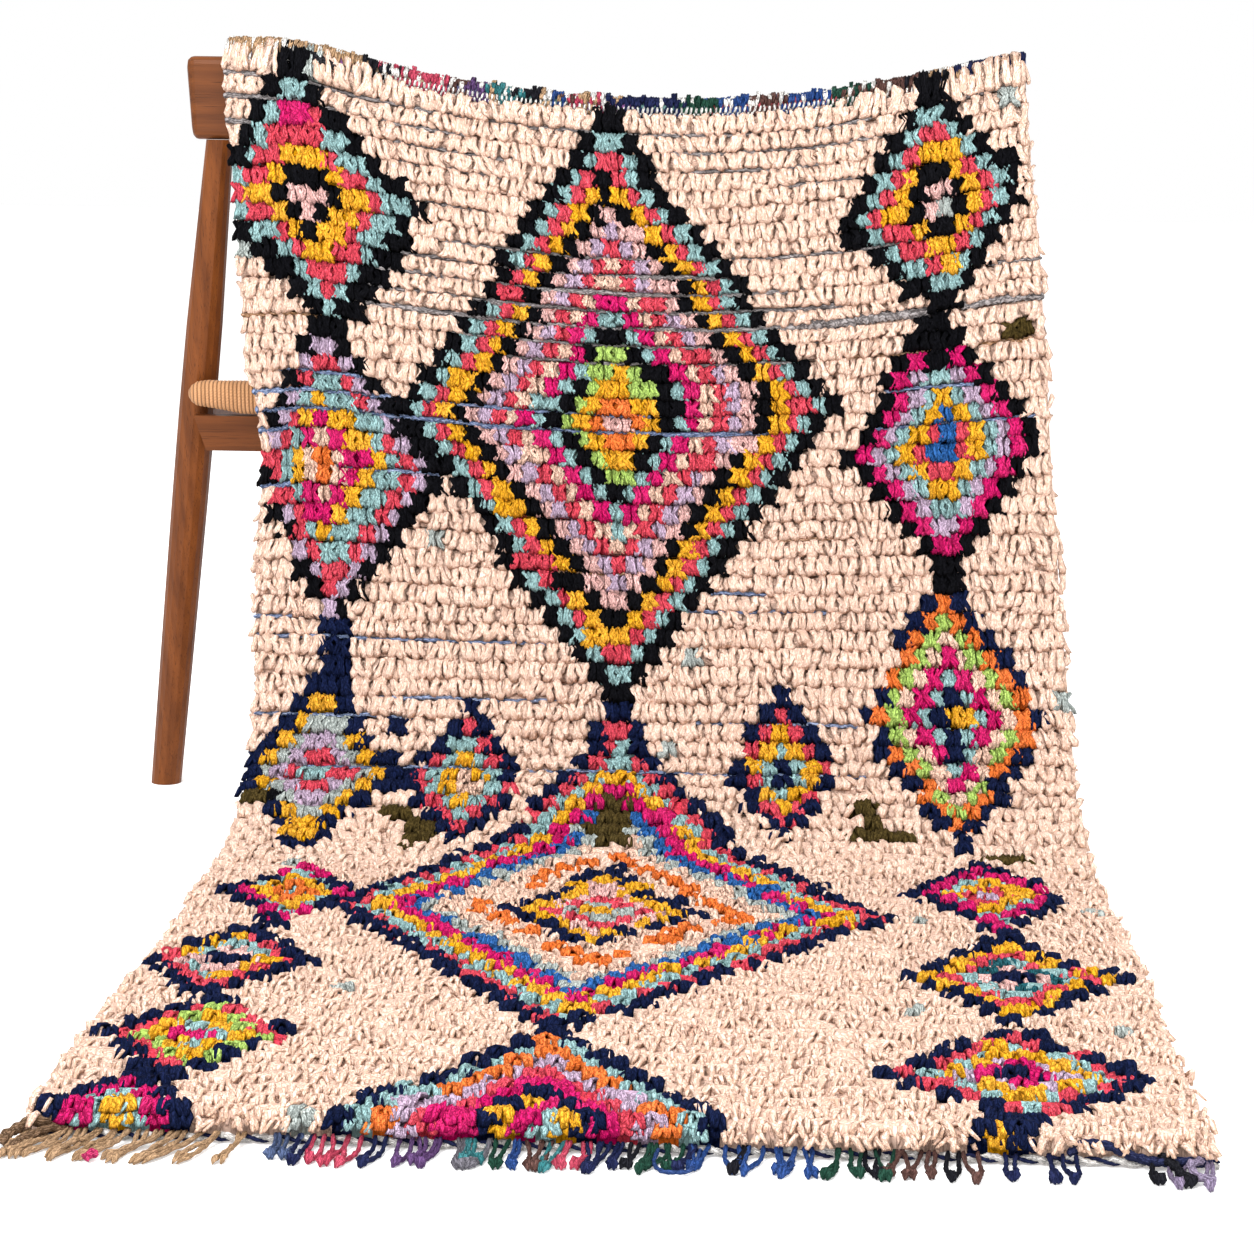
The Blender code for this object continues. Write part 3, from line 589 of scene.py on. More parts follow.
# --------------------------------------------------------------------- materials
class Nodes:
    """A shader node tree, with short ways to add the nodes that the finishes share."""

    def __init__(self, tree):
        self.tree = tree

    def feed(self, socket, value):
        """Links an output to a socket, or gives the socket a plain value."""
        if isinstance(value, bpy.types.NodeSocket):
            self.tree.links.new(value, socket)
        else:
            socket.default_value = value

    def put(self, kind, values=(), **settings):
        """A node with its settings and the values of its numbered or named sockets."""
        node = self.tree.nodes.new("ShaderNode" + kind)
        for key, value in settings.items():
            setattr(node, key, value)
        for key, value in values:
            self.feed(node.inputs[key], value)
        return node

    def math(self, operation, *terms):
        return self.put("Math", enumerate(terms), operation=operation).outputs[0]

    def times(self, a, b):
        return self.math("MULTIPLY", a, b)

    def plus(self, a, b, c):
        """a times b, plus c."""
        return self.math("MULTIPLY_ADD", a, b, c)

    def mix(self, share, a, b, kind="MIX"):
        return self.put("Mix", ((0, share), (6, a), (7, b)), data_type="RGBA",
                        blend_type=kind).outputs[2]

    def noise(self, place, scale=1.0, **more):
        values = [(0, place), ("Scale", scale)]
        values += [(key.capitalize(), value) for key, value in more.items()]
        return self.put("TexNoise", values).outputs["Fac"]

    def stretched(self, place, *scale):
        return self.put("Mapping", [(0, place), (3, scale)]).outputs[0]

    def ramp(self, value, low, high):
        """0 at low, 1 at high."""
        return self.put("MapRange", [(0, value), (1, low), (2, high)]).outputs[0]

    def parted(self, place):
        return self.put("SeparateXYZ", [(0, place)]).outputs

    def strip_map(self):
        return self.put("UVMap", uv_map="Strip").outputs[0]

    def place(self):
        return self.put("TexCoord").outputs["Object"]

    def written(self, name, output="Fac"):
        """A value that the mesh carries."""
        return self.put("Attribute", attribute_name=name).outputs[output]


def new_group(name, place, colours, values):
    """An empty shader node group that takes a place, colours and values.

    Returns its nodes, the outputs of its input end, and the sockets of its
    output end: a colour, a roughness and a height.
    """
    tree = bpy.data.node_groups.new(name, "ShaderNodeTree")
    ends = (("INPUT", [(place, "Vector")] + [(key, "Color") for key in colours]
             + [(key, "Float") for key in values]),
            ("OUTPUT", [("Colour", "Color"), ("Roughness", "Float"), ("Height", "Float")]))
    for end, sockets in ends:
        for key, kind in sockets:
            socket = tree.interface.new_socket(name=key, in_out=end,
                                               socket_type="NodeSocket" + kind)
            if end == "INPUT" and key in values:
                socket.default_value = values[key]
    return (Nodes(tree), tree.nodes.new("NodeGroupInput").outputs,
            tree.nodes.new("NodeGroupOutput").inputs)


def new_finish(name, specular=0.5):
    """A new material, its nodes and its shader's sockets."""
    finish = bpy.data.materials.new(name)
    finish.use_nodes = True
    shader = finish.node_tree.nodes["Principled BSDF"].inputs
    shader["Specular IOR Level"].default_value = specular
    return finish, Nodes(finish.node_tree), shader


def cover(nodes, shader, colour, rough, height, strength, distance):
    """Gives a shader its colour, roughness and relief."""
    nodes.feed(shader["Base Color"], colour)
    nodes.feed(shader["Roughness"], rough)
    nodes.feed(shader["Normal"], nodes.put("Bump", [
        ("Strength", strength), ("Distance", distance), ("Height", height)]).outputs[0])


def shaded(colour, by):
    """The colour times a factor, kept below one."""
    return tuple(min(0.96, c * by) for c in colour[:3]) + (1.0,)


def paler(colour, by):
    """The colour moved towards white, dark colours far less."""
    by = by * min(1.0, 0.04 + 1.6 * sum(colour[:3]) / 3.0)
    return tuple(c + (0.90 - c) * by for c in colour[:3]) + (1.0,)


def rag_group():
    """Rag cloth: fibres along the strip, soft worn patches, fine knit ribs and creases.

    The creases wander along the middle value of two noises. The crease lines and the points
    deep in a fold are darkened towards the crease colour: painted shade. The dark heather
    flecks take the same colour.
    """
    if "Rag cloth" in bpy.data.node_groups:
        return bpy.data.node_groups["Rag cloth"]
    nodes, given, ends = new_group(
        "Rag cloth", "Strip map", ("Colour", "Deep", "Pale", "Crease"),
        {"Tone": 0.5, "Heather": 0.3, "Ribs": 0.3, "Fold": 0.0})
    strip, crease = given["Strip map"], given["Crease"]
    fibres = nodes.noise(nodes.stretched(strip, 1500.0, 420.0, 1.0), detail=3.0, roughness=0.6)
    patches = nodes.noise(nodes.stretched(strip, 260.0, 190.0, 1.0), detail=2.0)
    relief = nodes.noise(nodes.stretched(strip, 520.0, 230.0, 1.0), detail=1.0, distortion=0.6)
    ribs = nodes.put("TexWave", [(0, strip), ("Scale", 190.0), ("Distortion", 1.2),
                                 ("Detail", 1.0), ("Detail Scale", 2.0)], bands_direction="X")
    lines = []
    for across, along, width in ((250.0, 95.0, 0.034), (470.0, 210.0, 0.048)):
        folds = nodes.noise(nodes.stretched(strip, across, along, 1.0), detail=1.5,
                            distortion=0.5)
        away = nodes.math("ABSOLUTE", nodes.math("SUBTRACT", folds, 0.5))
        lines.append(nodes.ramp(away, width, 0.008))
    line = nodes.math("MAXIMUM", *lines)
    tone = nodes.plus(patches, 0.9, nodes.plus(given["Tone"], 0.8, -0.35))
    body = nodes.mix(0.55, nodes.mix(tone, given["Deep"], given["Pale"]), given["Colour"])
    # Pale heather flecks, then dark ones in the crease colour; then painted shade: the crease
    # lines and the points deep in a fold are darkened towards the crease colour.
    for share, colour in (
            (nodes.times(given["Heather"], nodes.ramp(fibres, 0.45, 0.70)), given["Pale"]),
            (nodes.times(given["Heather"], nodes.ramp(fibres, 0.44, 0.34)), crease),
            (nodes.times(line, 0.70), crease),
            (nodes.times(nodes.ramp(given["Fold"], 0.70, 1.0), 0.62), crease)):
        body = nodes.mix(share, body, colour)
    height = nodes.math("ADD", relief, nodes.times(fibres, 0.35))
    height = nodes.plus(nodes.times(ribs.outputs["Fac"], 0.5), given["Ribs"], height)
    nodes.feed(ends["Colour"], body)
    nodes.feed(ends["Roughness"], nodes.plus(fibres, 0.18, 0.78))
    nodes.feed(ends["Height"], nodes.plus(line, -0.90, height))
    return nodes.tree


def rag_finish(name, colour, heather=0.3, ribs=0.3, deep=0.55, pale=0.18, crease=None):
    """A material of rag cloth in one colour, read along each strip's own map."""
    finish, nodes, shader = new_finish(name, 0.04)
    rag = nodes.put("Group", node_tree=rag_group())
    # The crease colour, a fifth of the rag's own unless given, is painted shade in creases and
    # folds, and also colours the dark heather flecks.
    for key, value in (("Strip map", nodes.strip_map()), ("Tone", nodes.written("Tone")),
                       ("Fold", nodes.written("Fold")), ("Colour", shaded(colour, 1.0)),
                       ("Deep", shaded(colour, deep)), ("Pale", paler(colour, pale)),
                       ("Heather", heather), ("Ribs", ribs),
                       ("Crease", (crease or shaded(colour, 0.20)[:3]) + (1.0,))):
        nodes.feed(rag.inputs[key], value)
    cover(nodes, shader, rag.outputs["Colour"], rag.outputs["Roughness"],
          rag.outputs["Height"], 0.8, 0.0019)
    return finish


def packed_finish():
    """The same rag cloth, deep between the strips, in each knot's own colour."""
    finish, nodes, shader = new_finish("Packed rags", 0.03)
    tint = nodes.written("Knot colour", "Color")
    rag = nodes.put("Group", node_tree=rag_group())
    nodes.feed(rag.inputs["Strip map"], nodes.strip_map())
    # Painted shade: this cloth lies deep between the strips, so each colour is the knot's own
    # multiplied a little towards warm brown, the crease colour most.
    for key, share in (("Colour", 0.06), ("Deep", 0.22), ("Pale", 0.02), ("Crease", 0.60)):
        nodes.feed(rag.inputs[key],
                   nodes.mix(share, tint, (0.27, 0.155, 0.100, 1.0), "MULTIPLY"))
    nodes.feed(rag.inputs["Tone"], 0.5)
    cover(nodes, shader, rag.outputs["Colour"], 0.9, rag.outputs["Height"], 0.8, 0.0019)
    return finish


def weave_finish():
    """The ground weave: undyed weft in front, the knots' backs in rows underneath.

    A knot's back is two rounded nubs in the upper half of its row: the product
    of a sine along the cloth and one across it.
    """
    finish, nodes, shader = new_finish("Ground weave", 0.12)
    tint = nodes.written("Knot colour", "Color")
    columns, rows = nodes.parted(nodes.strip_map())[:2]

    def wave(value, turns):
        return nodes.math("SINE", nodes.times(value, math.pi * turns))

    def threads(value):
        return nodes.math("ABSOLUTE", wave(value, 4.0))

    side = nodes.math("FRACT", nodes.times(columns, 2.0))
    nub = nodes.times(nodes.math("MAXIMUM", wave(nodes.math("FRACT", rows), 2.0), 0.0),
                      wave(side, 1.0))
    is_nub = nodes.ramp(nub, 0.18, 0.40)
    fuzz = nodes.noise(nodes.place(), 620.0, detail=3.0)
    worn = nodes.noise(nodes.place(), 16.0, detail=3.0)
    undyed = nodes.mix(worn, (0.30, 0.21, 0.14, 1.0), (0.52, 0.42, 0.33, 1.0))
    undyed = nodes.mix(nodes.times(fuzz, 0.5), undyed, (0.16, 0.14, 0.15, 1.0))
    dyed = nodes.mix(nodes.times(fuzz, 0.45), tint, (0.55, 0.48, 0.42, 1.0))
    face = nodes.mix(nodes.plus(fuzz, -0.35, 0.95), undyed, tint)
    height = nodes.plus(is_nub, nodes.times(nub, 1.4),
                        nodes.times(nodes.times(threads(rows), threads(columns)), 0.5))
    cover(nodes, shader,
          nodes.mix(nodes.written("Underside"), face, nodes.mix(is_nub, undyed, dyed)),
          nodes.plus(fuzz, 0.15, 0.80), nodes.plus(fuzz, 0.5, height), 0.8, 0.002)
    return finish


def grain_group():
    """Oiled wood: wandering growth bands, fine pores along the grain, and oil wear."""
    if "Oiled wood grain" in bpy.data.node_groups:
        return bpy.data.node_groups["Oiled wood grain"]
    nodes, given, ends = new_group("Oiled wood grain", "Along grain", ("Light", "Dark"),
                                   {"Bands": 60.0, "Pores": 0.5})
    grain = given["Along grain"]
    drift = nodes.noise(nodes.stretched(grain, 6.0, 6.0, 1.3), 2.2, detail=3.0,
                        distortion=0.4)
    x, y = nodes.parted(grain)[:2]
    across = nodes.plus(drift, 0.12, nodes.math("ADD", x, nodes.times(y, 0.45)))
    bands = nodes.math("SINE", nodes.times(across, nodes.times(given["Bands"], TAU)))
    pores = nodes.noise(nodes.stretched(grain, 900.0, 900.0, 22.0), detail=2.0,
                        roughness=0.65)
    pore = nodes.ramp(pores, 0.56, 0.70)
    streaks = nodes.noise(nodes.stretched(grain, 150.0, 150.0, 5.0), detail=3.0)
    tone = nodes.plus(nodes.plus(bands, 0.5, 0.5), 0.20,
                      nodes.plus(streaks, 0.75, nodes.times(drift, 0.25)))
    tone = nodes.ramp(tone, 0.30, 0.98)
    nodes.feed(ends["Colour"], nodes.mix(nodes.times(pore, given["Pores"]),
                                         nodes.mix(tone, given["Dark"], given["Light"]),
                                         (0.030, 0.010, 0.004, 1.0)))
    nodes.feed(ends["Roughness"], nodes.plus(pore, 0.22, nodes.plus(drift, 0.16, 0.36)))
    nodes.feed(ends["Height"], nodes.plus(pore, -1.0, nodes.times(tone, 0.3)))
    return nodes.tree


def wood_finish(name, turn, look, place=(0.0, 0.0, 0.0), tone=(1.0, 1.0, 1.0)):
    """Oiled wood whose grain runs along the object axis that the turn lays on Z."""
    finish, nodes, shader = new_finish(name, 0.16)
    wood = nodes.put("Group", node_tree=grain_group())
    where = nodes.put("Mapping", [(0, nodes.place()), (1, place), (2, turn)])
    light, dark = (tuple(a * b for a, b in zip(colour, tone)) + (1.0,)
                   for colour in (look.wood_light, look.wood_dark))
    for key, value in (("Along grain", where.outputs[0]), ("Light", light), ("Dark", dark),
                       ("Bands", 30.0), ("Pores", 0.60)):
        nodes.feed(wood.inputs[key], value)
    cover(nodes, shader, wood.outputs["Colour"], wood.outputs["Roughness"],
          wood.outputs["Height"], 0.25, 0.0006)
    return finish


def cord_finish(name, colour):
    """Twisted paper cord: the map counts the turns across and metres along each one,
    so turns darken where they meet and fine plies slant over them; both darkenings are
    painted shade, in the gaps between turns and the grooves between plies."""
    finish, nodes, shader = new_finish(name)
    turns, along = nodes.parted(nodes.strip_map())[:2]
    part = nodes.math("FRACT", turns)
    meet = nodes.ramp(nodes.math("ABSOLUTE", nodes.math("SUBTRACT", part, 0.5)), 0.26, 0.50)
    plies = nodes.math("SINE", nodes.plus(along, 2600.0, nodes.times(part, 5.0)))
    plies = nodes.plus(plies, 0.5, 0.5)
    place = nodes.place()
    fuzz = nodes.noise(place, 700.0, detail=3.0)
    worn = nodes.noise(place, 60.0, detail=3.0)
    each = nodes.put("TexWhiteNoise", [("W", nodes.math("FLOOR", turns))],
                     noise_dimensions="1D").outputs[0]
    base = nodes.mix(nodes.plus(each, 0.5, nodes.times(worn, 0.5)),
                     shaded(colour, 0.62), paler(colour, 0.10))
    # Painted shade in the ply grooves and where the turns meet; the worn and fuzz tones are the
    # cord's own.
    for share, other in ((nodes.times(plies, 0.28), shaded(colour, 0.40)),
                         (nodes.times(fuzz, 0.30), paler(colour, 0.22)),
                         (nodes.times(meet, 0.95), shaded(colour, 0.20))):
        base = nodes.mix(share, base, other)
    height = nodes.plus(fuzz, 0.4, nodes.plus(meet, -1.2, nodes.times(plies, 0.5)))
    cover(nodes, shader, base, nodes.plus(fuzz, 0.2, 0.62), height, 0.7, 0.0008)
    return finish


# ------------------------------------------------------------------- the cloth
BAND_STRIPES = np.array([(0.45, 0.03, 0.06), (0.16, 0.03, 0.22), (0.02, 0.15, 0.16),
                         (0.02, 0.04, 0.16), (0.24, 0.16, 0.10)])
UNDYED = (0.5, 0.42, 0.35)
WEFT_LIFT = 0.0148      # of a weft's middle over the drape


def ground_cloth(sizes):
    """The woven ground as a thin closed sheet.

    Its upper and lower grids follow the drape, one station to a row of knots
    and then the band's own over the rail; a strip of quads closes the rim.
    """
    rows, across = sizes.knot_rows, sizes.knots_across
    numbers = np.arange(rows + 1.0)
    edges = row_edge(numbers, rows)
    band_s = np.array([ALONG[name] for name, _ in BAND])
    tail = np.linspace(ALONG["rail_back"] + 0.004, CURVE_END - 0.002, 9)
    along = np.unique(np.round(np.concatenate(
        [edges, band_s, 0.5 * (band_s[1:] + band_s[:-1]), tail]), 5))
    along[0] = 0.0
    half = sizes.rug_width / 2 - 0.0015
    a, x = np.meshgrid(along, np.linspace(-half, half, across + 1), indexing="ij")
    front = np.maximum(sizes.cloth_thickness,
                       np.where(a < ALONG["rail_front"] - 1e-5, 0.0, band_face(a, x)))
    lumps = 0.0005 * np.sin(x * 410.0) * np.sin(a * 300.0)
    points = np.concatenate([cloth_point(x, a, front + lumps).reshape(-1, 3),
                             cloth_point(x, a, np.full_like(a, 0.0003)).reshape(-1, 3)])
    corners, (upper, lower, side) = sheet_faces(*a.shape, [0, 1, 2, 3])

    def row_at(s):
        return np.interp(-s, -edges, numbers)

    mid = 0.5 * (along[1:] + along[:-1])
    row = np.clip(np.floor(row_at(mid)), 0, rows - 1).astype(int)
    colours = COLOURS[knot_chart(rows, across)[row]]
    run = np.floor(np.arange(across) / 5)
    colours[mid > PILE_TOP] = BAND_STRIPES[np.floor(5 * speckle(run, 77)).astype(int) % 5][None]
    colours = colours.reshape(-1, 3)
    tints = np.concatenate([colours, colours, np.tile([UNDYED], (side, 1))])
    v = np.where(a > PILE_TOP, -(a - PILE_TOP) / 0.008, row_at(a))
    u = (x / (2 * half) + 0.5) * across
    return dict(points=points, corners=corners, counts=np.full(len(corners) // 4, 4),
                maps=np.tile(np.stack([u, v], -1).reshape(-1, 2), (2, 1)), tints=tints,
                under=np.repeat([0.0, 1.0, 0.0], [upper, lower, side]))


def around(ring):
    """The angles of a ring's points."""
    return TAU * np.arange(ring) / ring


def lines_of_weft(spans, sizes, seed):
    """Twisted wefts that show between rows, as cords that follow the cloth.

    Each runs across from column to column at a row's edge; its round section
    carries a two-ply twist and it wanders a little up and down.
    """
    pitch, radius = sizes.rug_width / sizes.knots_across, sizes.weft_thickness / 2
    stations, ring = 60, 5
    s = np.arange(len(spans))[:, None] + seed
    u = np.linspace(0.0, 1.0, stations)[None]
    row, c0, c1, passes = (np.array(column)[:, None] for column in zip(*spans))
    x = -sizes.rug_width / 2 + pitch * (c0 + (c1 - c0) * u)
    along = row_line(row, x, sizes.knot_rows) + 0.0008 * np.sin(x * 60 + 5 * s) \
        + 0.0005 * np.sin(x * 310 + 9 * s)
    up = WEFT_LIFT + 0.0017 * np.sin(x * 31 + 3 * s) + 0.0009 * np.sin(x * 150 + 3 * s)
    angle = around(ring)
    size = radius * (1.0 + 0.25 * np.cos(2 * angle[None, None] - (x * 900)[..., None]))
    size = size * np.where((u < 0.004) | (u > 0.996), 0.3, 1.0)[..., None]
    high = 0.45 + 0.40 * passes[..., None]
    points = cloth_point(x[..., None] + 0 * size, along[..., None] + size * high * np.cos(angle),
                         up[..., None] + size * np.sin(angle))
    maps = 0.5 * np.stack(np.broadcast_arrays(radius * angle[None, None], x[..., None]), -1)
    return points, maps, np.repeat(speckle(s, 3).ravel(), stations * ring)


# ------------------------------------------------------------- the knotted ends
def strands(paths, radius, twist, seed, ring=8, floor=True):
    """Knotted ends as tubes along paths of points in the frame.

    paths: (count, stations, 3); radius: (count, stations). The section is round
    with a two-ply ridge that turns along the way, and stays above the floor.
    """
    step = np.gradient(paths, axis=1)
    size = np.linalg.norm(step, axis=-1)
    run = np.cumsum(size, axis=1)
    step /= size[..., None] + 1e-9
    up = np.where(np.abs(step[..., 2:]) > 0.9, np.array([0.0, 1.0, 0.0]),
                  np.array([0.0, 0.0, 1.0]))
    side = np.cross(step, up)
    side /= np.linalg.norm(side, axis=-1, keepdims=True) + 1e-9
    up = np.cross(side, step)
    angle = around(ring)
    size = radius[..., None] * (1.0 + 0.20 * np.cos(2 * angle - (run * twist)[..., None]))
    points = (paths[..., None, :] + side[..., None, :] * (size * np.cos(angle))[..., None]
              + up[..., None, :] * (size * np.sin(angle))[..., None])
    if floor:
        points[..., 2] = np.maximum(points[..., 2], 0.0004)
    maps = np.stack(np.broadcast_arrays(0.004 * angle + speckle(seed, 1)[:, None, None],
                                        run[..., None]), -1)
    return points, maps, np.repeat(speckle(seed, 2), paths.shape[1] * ring)


END_YARNS = {
    "tan": (0.560, 0.340, 0.180), "denim": (0.090, 0.130, 0.260),
    "rose": (0.620, 0.060, 0.120), "purple": (0.130, 0.060, 0.190),
    "grey": (0.170, 0.160, 0.190), "teal": (0.040, 0.220, 0.240),
    "green": (0.016, 0.070, 0.045), "blue": (0.020, 0.070, 0.270),
    "brown": (0.130, 0.060, 0.050), "navy": (0.014, 0.020, 0.080),
    "black": (0.012, 0.012, 0.018), "lilac": (0.300, 0.230, 0.370),
    "umber": (0.200, 0.110, 0.055), "magenta": (0.640, 0.004, 0.130),
}
NEAR_ENDS = (   # yarn, and the column of each knotted pair of strands
    ("tan", (0.4, 1.0, 1.7, 2.4, 3.1, 3.8, 4.6, 5.3, 6.0, 6.8, 7.6, 8.5, 9.6, 10.8)),
    ("denim", (12.5, 13.3)), ("rose", (14.6, 15.6, 16.4, 26.6, 27.6)),
    ("purple", (18.9, 19.6, 20.3)), ("grey", (21.4, 22.9)), ("teal", (21.9, 22.4, 26.1)),
    ("green", (23.4, 30.6, 31.2, 31.8, 39.7, 40.5, 41.9)),
    ("blue", (24.1, 33.1, 34.6, 35.7, 36.9, 37.6, 38.2)),
    ("brown", (25.0, 25.6, 42.5, 43.2, 44.1, 46.1)),
    ("navy", (13.9, 17.6, 27.9, 28.5, 29.1, 32.6, 47.9, 49.8, 50.8)),
    ("black", (29.9, 35.1, 41.2, 45.2, 54.6, 56.6)), ("lilac", (55.8, 57.3)),
)
LOOSE_ROPES = (   # name, yarn, half thickness, points it runs through
    ("corner_loop", "umber", 0.0040, ((-0.413, -1.080, 0.006), (-0.424, -1.083, 0.013),
                                      (-0.437, -1.087, 0.014), (-0.447, -1.094, 0.010),
                                      (-0.455, -1.103, 0.006), (-0.449, -1.108, 0.005))),
    ("corner_tail", "umber", 0.0031, ((-0.409, -1.083, 0.006), (-0.419, -1.090, 0.011),
                                      (-0.432, -1.100, 0.009), (-0.444, -1.111, 0.005),
                                      (-0.446, -1.119, 0.004))),
    ("magenta_tip", "magenta", 0.0034, ((-0.380, -1.126, 0.005), (-0.383, -1.130, 0.006),
                                        (-0.386, -1.134, 0.004))),
    ("middle_loop", "blue", 0.0016, ((0.031, -1.085, 0.006), (0.028, -1.108, 0.003),
                                     (0.038, -1.130, 0.004), (0.053, -1.125, 0.003),
                                     (0.060, -1.100, 0.004), (0.062, -1.085, 0.006))),
    ("right_loop", "navy", 0.0034, ((0.332, -1.081, 0.006), (0.346, -1.079, 0.016),
                                    (0.360, -1.082, 0.016), (0.378, -1.086, 0.010),
                                    (0.398, -1.089, 0.007), (0.420, -1.090, 0.008),
                                    (0.438, -1.086, 0.006))),
    ("right_knots", "black", 0.0036, ((0.400, -1.084, 0.010), (0.409, -1.098, 0.007),
                                      (0.412, -1.110, 0.005), (0.420, -1.121, 0.005))),
    ("right_tail", "lilac", 0.0030, ((0.430, -1.088, 0.009), (0.419, -1.100, 0.009),
                                     (0.422, -1.114, 0.006), (0.436, -1.119, 0.005))),
)
EDGING_Y, ENDS_Y = -1.0832, -1.0845   # where the edging and the knotted ends begin
KNOT_TWIST = 1500.0                   # turns of a strand's two plies, radians a metre


def near_ends(columns, sizes, seed, stout):
    """Knotted strands that lie forward on the floor, two to each knot.

    Some pairs leave the edging apart and meet in the knot, the others run side
    by side; all lean to the left, wander on a sine and end in a round knot with
    short cut tails. Stout ones are thicker and lean more.
    """
    columns = np.repeat(np.asarray(columns), 2)
    side = np.where(np.arange(len(columns)) % 2 == 0, -1.0, 1.0)[:, None]
    n, own = columns * 7.31 + seed, columns * 7.31 + seed + side[:, 0]
    u = np.linspace(0.0, 1.0, 18)[None]
    x0 = -sizes.rug_width / 2 + sizes.rug_width / sizes.knots_across * columns
    reach = (0.034 + 0.014 * speckle(n, 1) + 0.006 * stout)[:, None]
    sway = ((0.018 + 0.004 * stout) * (speckle(n, 2) - 0.8) - 0.015 * stout)[:, None]
    knot_at = (0.84 + 0.06 * speckle(n, 4))[:, None]
    opening = np.where(speckle(n, 5) > 0.5 + 0.4 * stout, 0.0042, 0.0004)[:, None]
    apart = side * (opening * np.clip(1.0 - u / knot_at, 0.0, 1.0) + 0.0013
                    + 0.0040 * np.clip(u - knot_at - 0.02, 0.0, 1.0))
    x = x0[:, None] + sway * u ** 1.2 + apart \
        + 0.0016 * np.sin(6.0 * u + 9.0 * speckle(own, 3)[:, None])
    y = ENDS_Y - reach * u * (1.0 - 0.07 * speckle(own, 6)[:, None])
    radius = 0.0018 \
        + (0.0024 - 0.0014 * stout) * np.exp(-((u - knot_at) / 0.060) ** 2) \
        + 0.0006 * np.exp(-((u - knot_at * 0.55) / 0.04) ** 2)
    radius = radius * np.where(u > 0.97, 0.35, 1.0)
    z = 0.0004 + radius * 1.05 + 0.0060 * np.exp(-(u / 0.20) ** 2) \
        + (0.0045 * stout * speckle(own, 5))[:, None] * np.sin(math.pi * u)
    return strands(in_frame(x, y, z), radius, KNOT_TWIST, own, ring=6)


def far_ends(sizes):
    """Knotted warp ends hanging behind the rail below the flap, thinning to a tail."""
    count = 24
    n = np.arange(count) * 3.77 + 0.5
    inner = sizes.rug_width / 2 - 0.010
    mid = -inner + 2 * inner * (np.arange(count) + 0.5) / count
    u = np.linspace(0.0, 1.0, 18)[None]
    base = cloth_point(mid, CURVE_END, -0.001)
    reach = (0.030 + 0.007 * (2 * speckle(n, 1) - 1))[:, None]
    x = base[:, 0:1] + (0.004 * (2 * speckle(n, 2) - 1))[:, None] * u
    y = base[:, 1:2] + 0.0030 + 0.0022 * u
    z = base[:, 2:3] + 0.001 - reach * u - 0.004
    radius = 0.0017 + 0.0021 * np.exp(-((u - 0.84) / 0.06) ** 2)
    radius = radius * np.where(u > 0.97, 0.4, 1.0)
    return strands(np.stack([x, y, z], -1), radius, KNOT_TWIST, n, floor=False)


def far_edging(sizes):
    """The cord that edges the flap: it follows the flap's end in small waves."""
    inner, stations = sizes.rug_width / 2 - 0.010, 420
    x = np.linspace(-inner, inner, stations)
    base = cloth_point(x, CURVE_END, -0.001)
    path = np.stack([base[:, 0], base[:, 1] + 0.0030 + 0.0006 * np.cos(x * 500),
                     base[:, 2] - 0.0036 + 0.0006 * np.sin(x * 500)], -1)[None]
    return strands(path, np.full((1, stations), 0.0024), 1100.0, np.array([5.0]), floor=False)


def edging_rope(phase, sizes, thick):
    """One ply of the two-ply edging: a round cord wound on a helix along the near end."""
    half = sizes.rug_width / 2 - 0.001
    x = np.linspace(-half, half, 560)
    turn = x * (TAU / 0.0300) + phase
    y = EDGING_Y + 0.0006 * np.sin(x * 60.0) + 0.0016 * np.cos(turn)
    z = 0.0044 + 0.0016 * np.sin(turn)
    radius = np.full((1, len(x)), thick)
    radius[:, [0, -1]] = 0.0006
    return strands(in_frame(x, y, z)[None], radius, 900.0, np.array([phase + 1.0]))


def rope_through(knots, radius, seed):
    """A loose rope end along a smooth line through a few points."""
    stations, knots = 90, np.asarray(knots)
    t = np.concatenate([[0.0], np.cumsum(np.linalg.norm(np.diff(knots, axis=0), axis=1))])
    at = np.linspace(0.0, t[-1], stations)
    line = np.stack([level_cubic(t, knots[:, k], at) for k in range(3)], -1)
    smooth = np.pad(line, ((4, 4), (0, 0)), mode="edge")
    line = sum(smooth[k:k + stations] for k in range(9)) / 9.0
    size = np.full((1, stations), radius)
    size[:, [0, -1]] = radius * 0.4
    return strands(in_frame(*line.T)[None], size, 700.0, np.array([seed]))


# ---------------------------------------------------------------- the head band
BAND_RUNS = (   # last column of each run, the colour of its knotted wefts
    (10.4, "tan"), (12.2, "black"), (16.4, "rose"), (17.8, "brown"), (19.3, "purple"),
    (20.0, "tan"), (21.2, "teal"), (23.1, "black"), (23.9, "tan"), (24.7, "blue"),
    (25.3, "brown"), (25.8, "rose"), (26.8, "tan"), (27.9, "rose"), (28.4, "tan"),
    (33.3, "navy"), (35.9, "green"), (38.0, "blue"), (40.2, "brown"), (43.9, "blue"),
    (46.0, "green"), (49.7, "brown"), (51.0, "black"), (52.6, "tan"), (58.0, "navy"),
)
STITCH_ROWS = (   # place, first and last millimetres from it along the cloth, pitch
    ("rail_front", -3.4, 1.4, 0.0027), ("rail_front", 0.6, 5.6, 0.0027),
    ("front_brow", 6.5, 13.5, 0.0060), ("rail_top_2", -2.0, 5.5, 0.0060),
    ("back_turn", -1.0, 6.5, 0.0060),
)


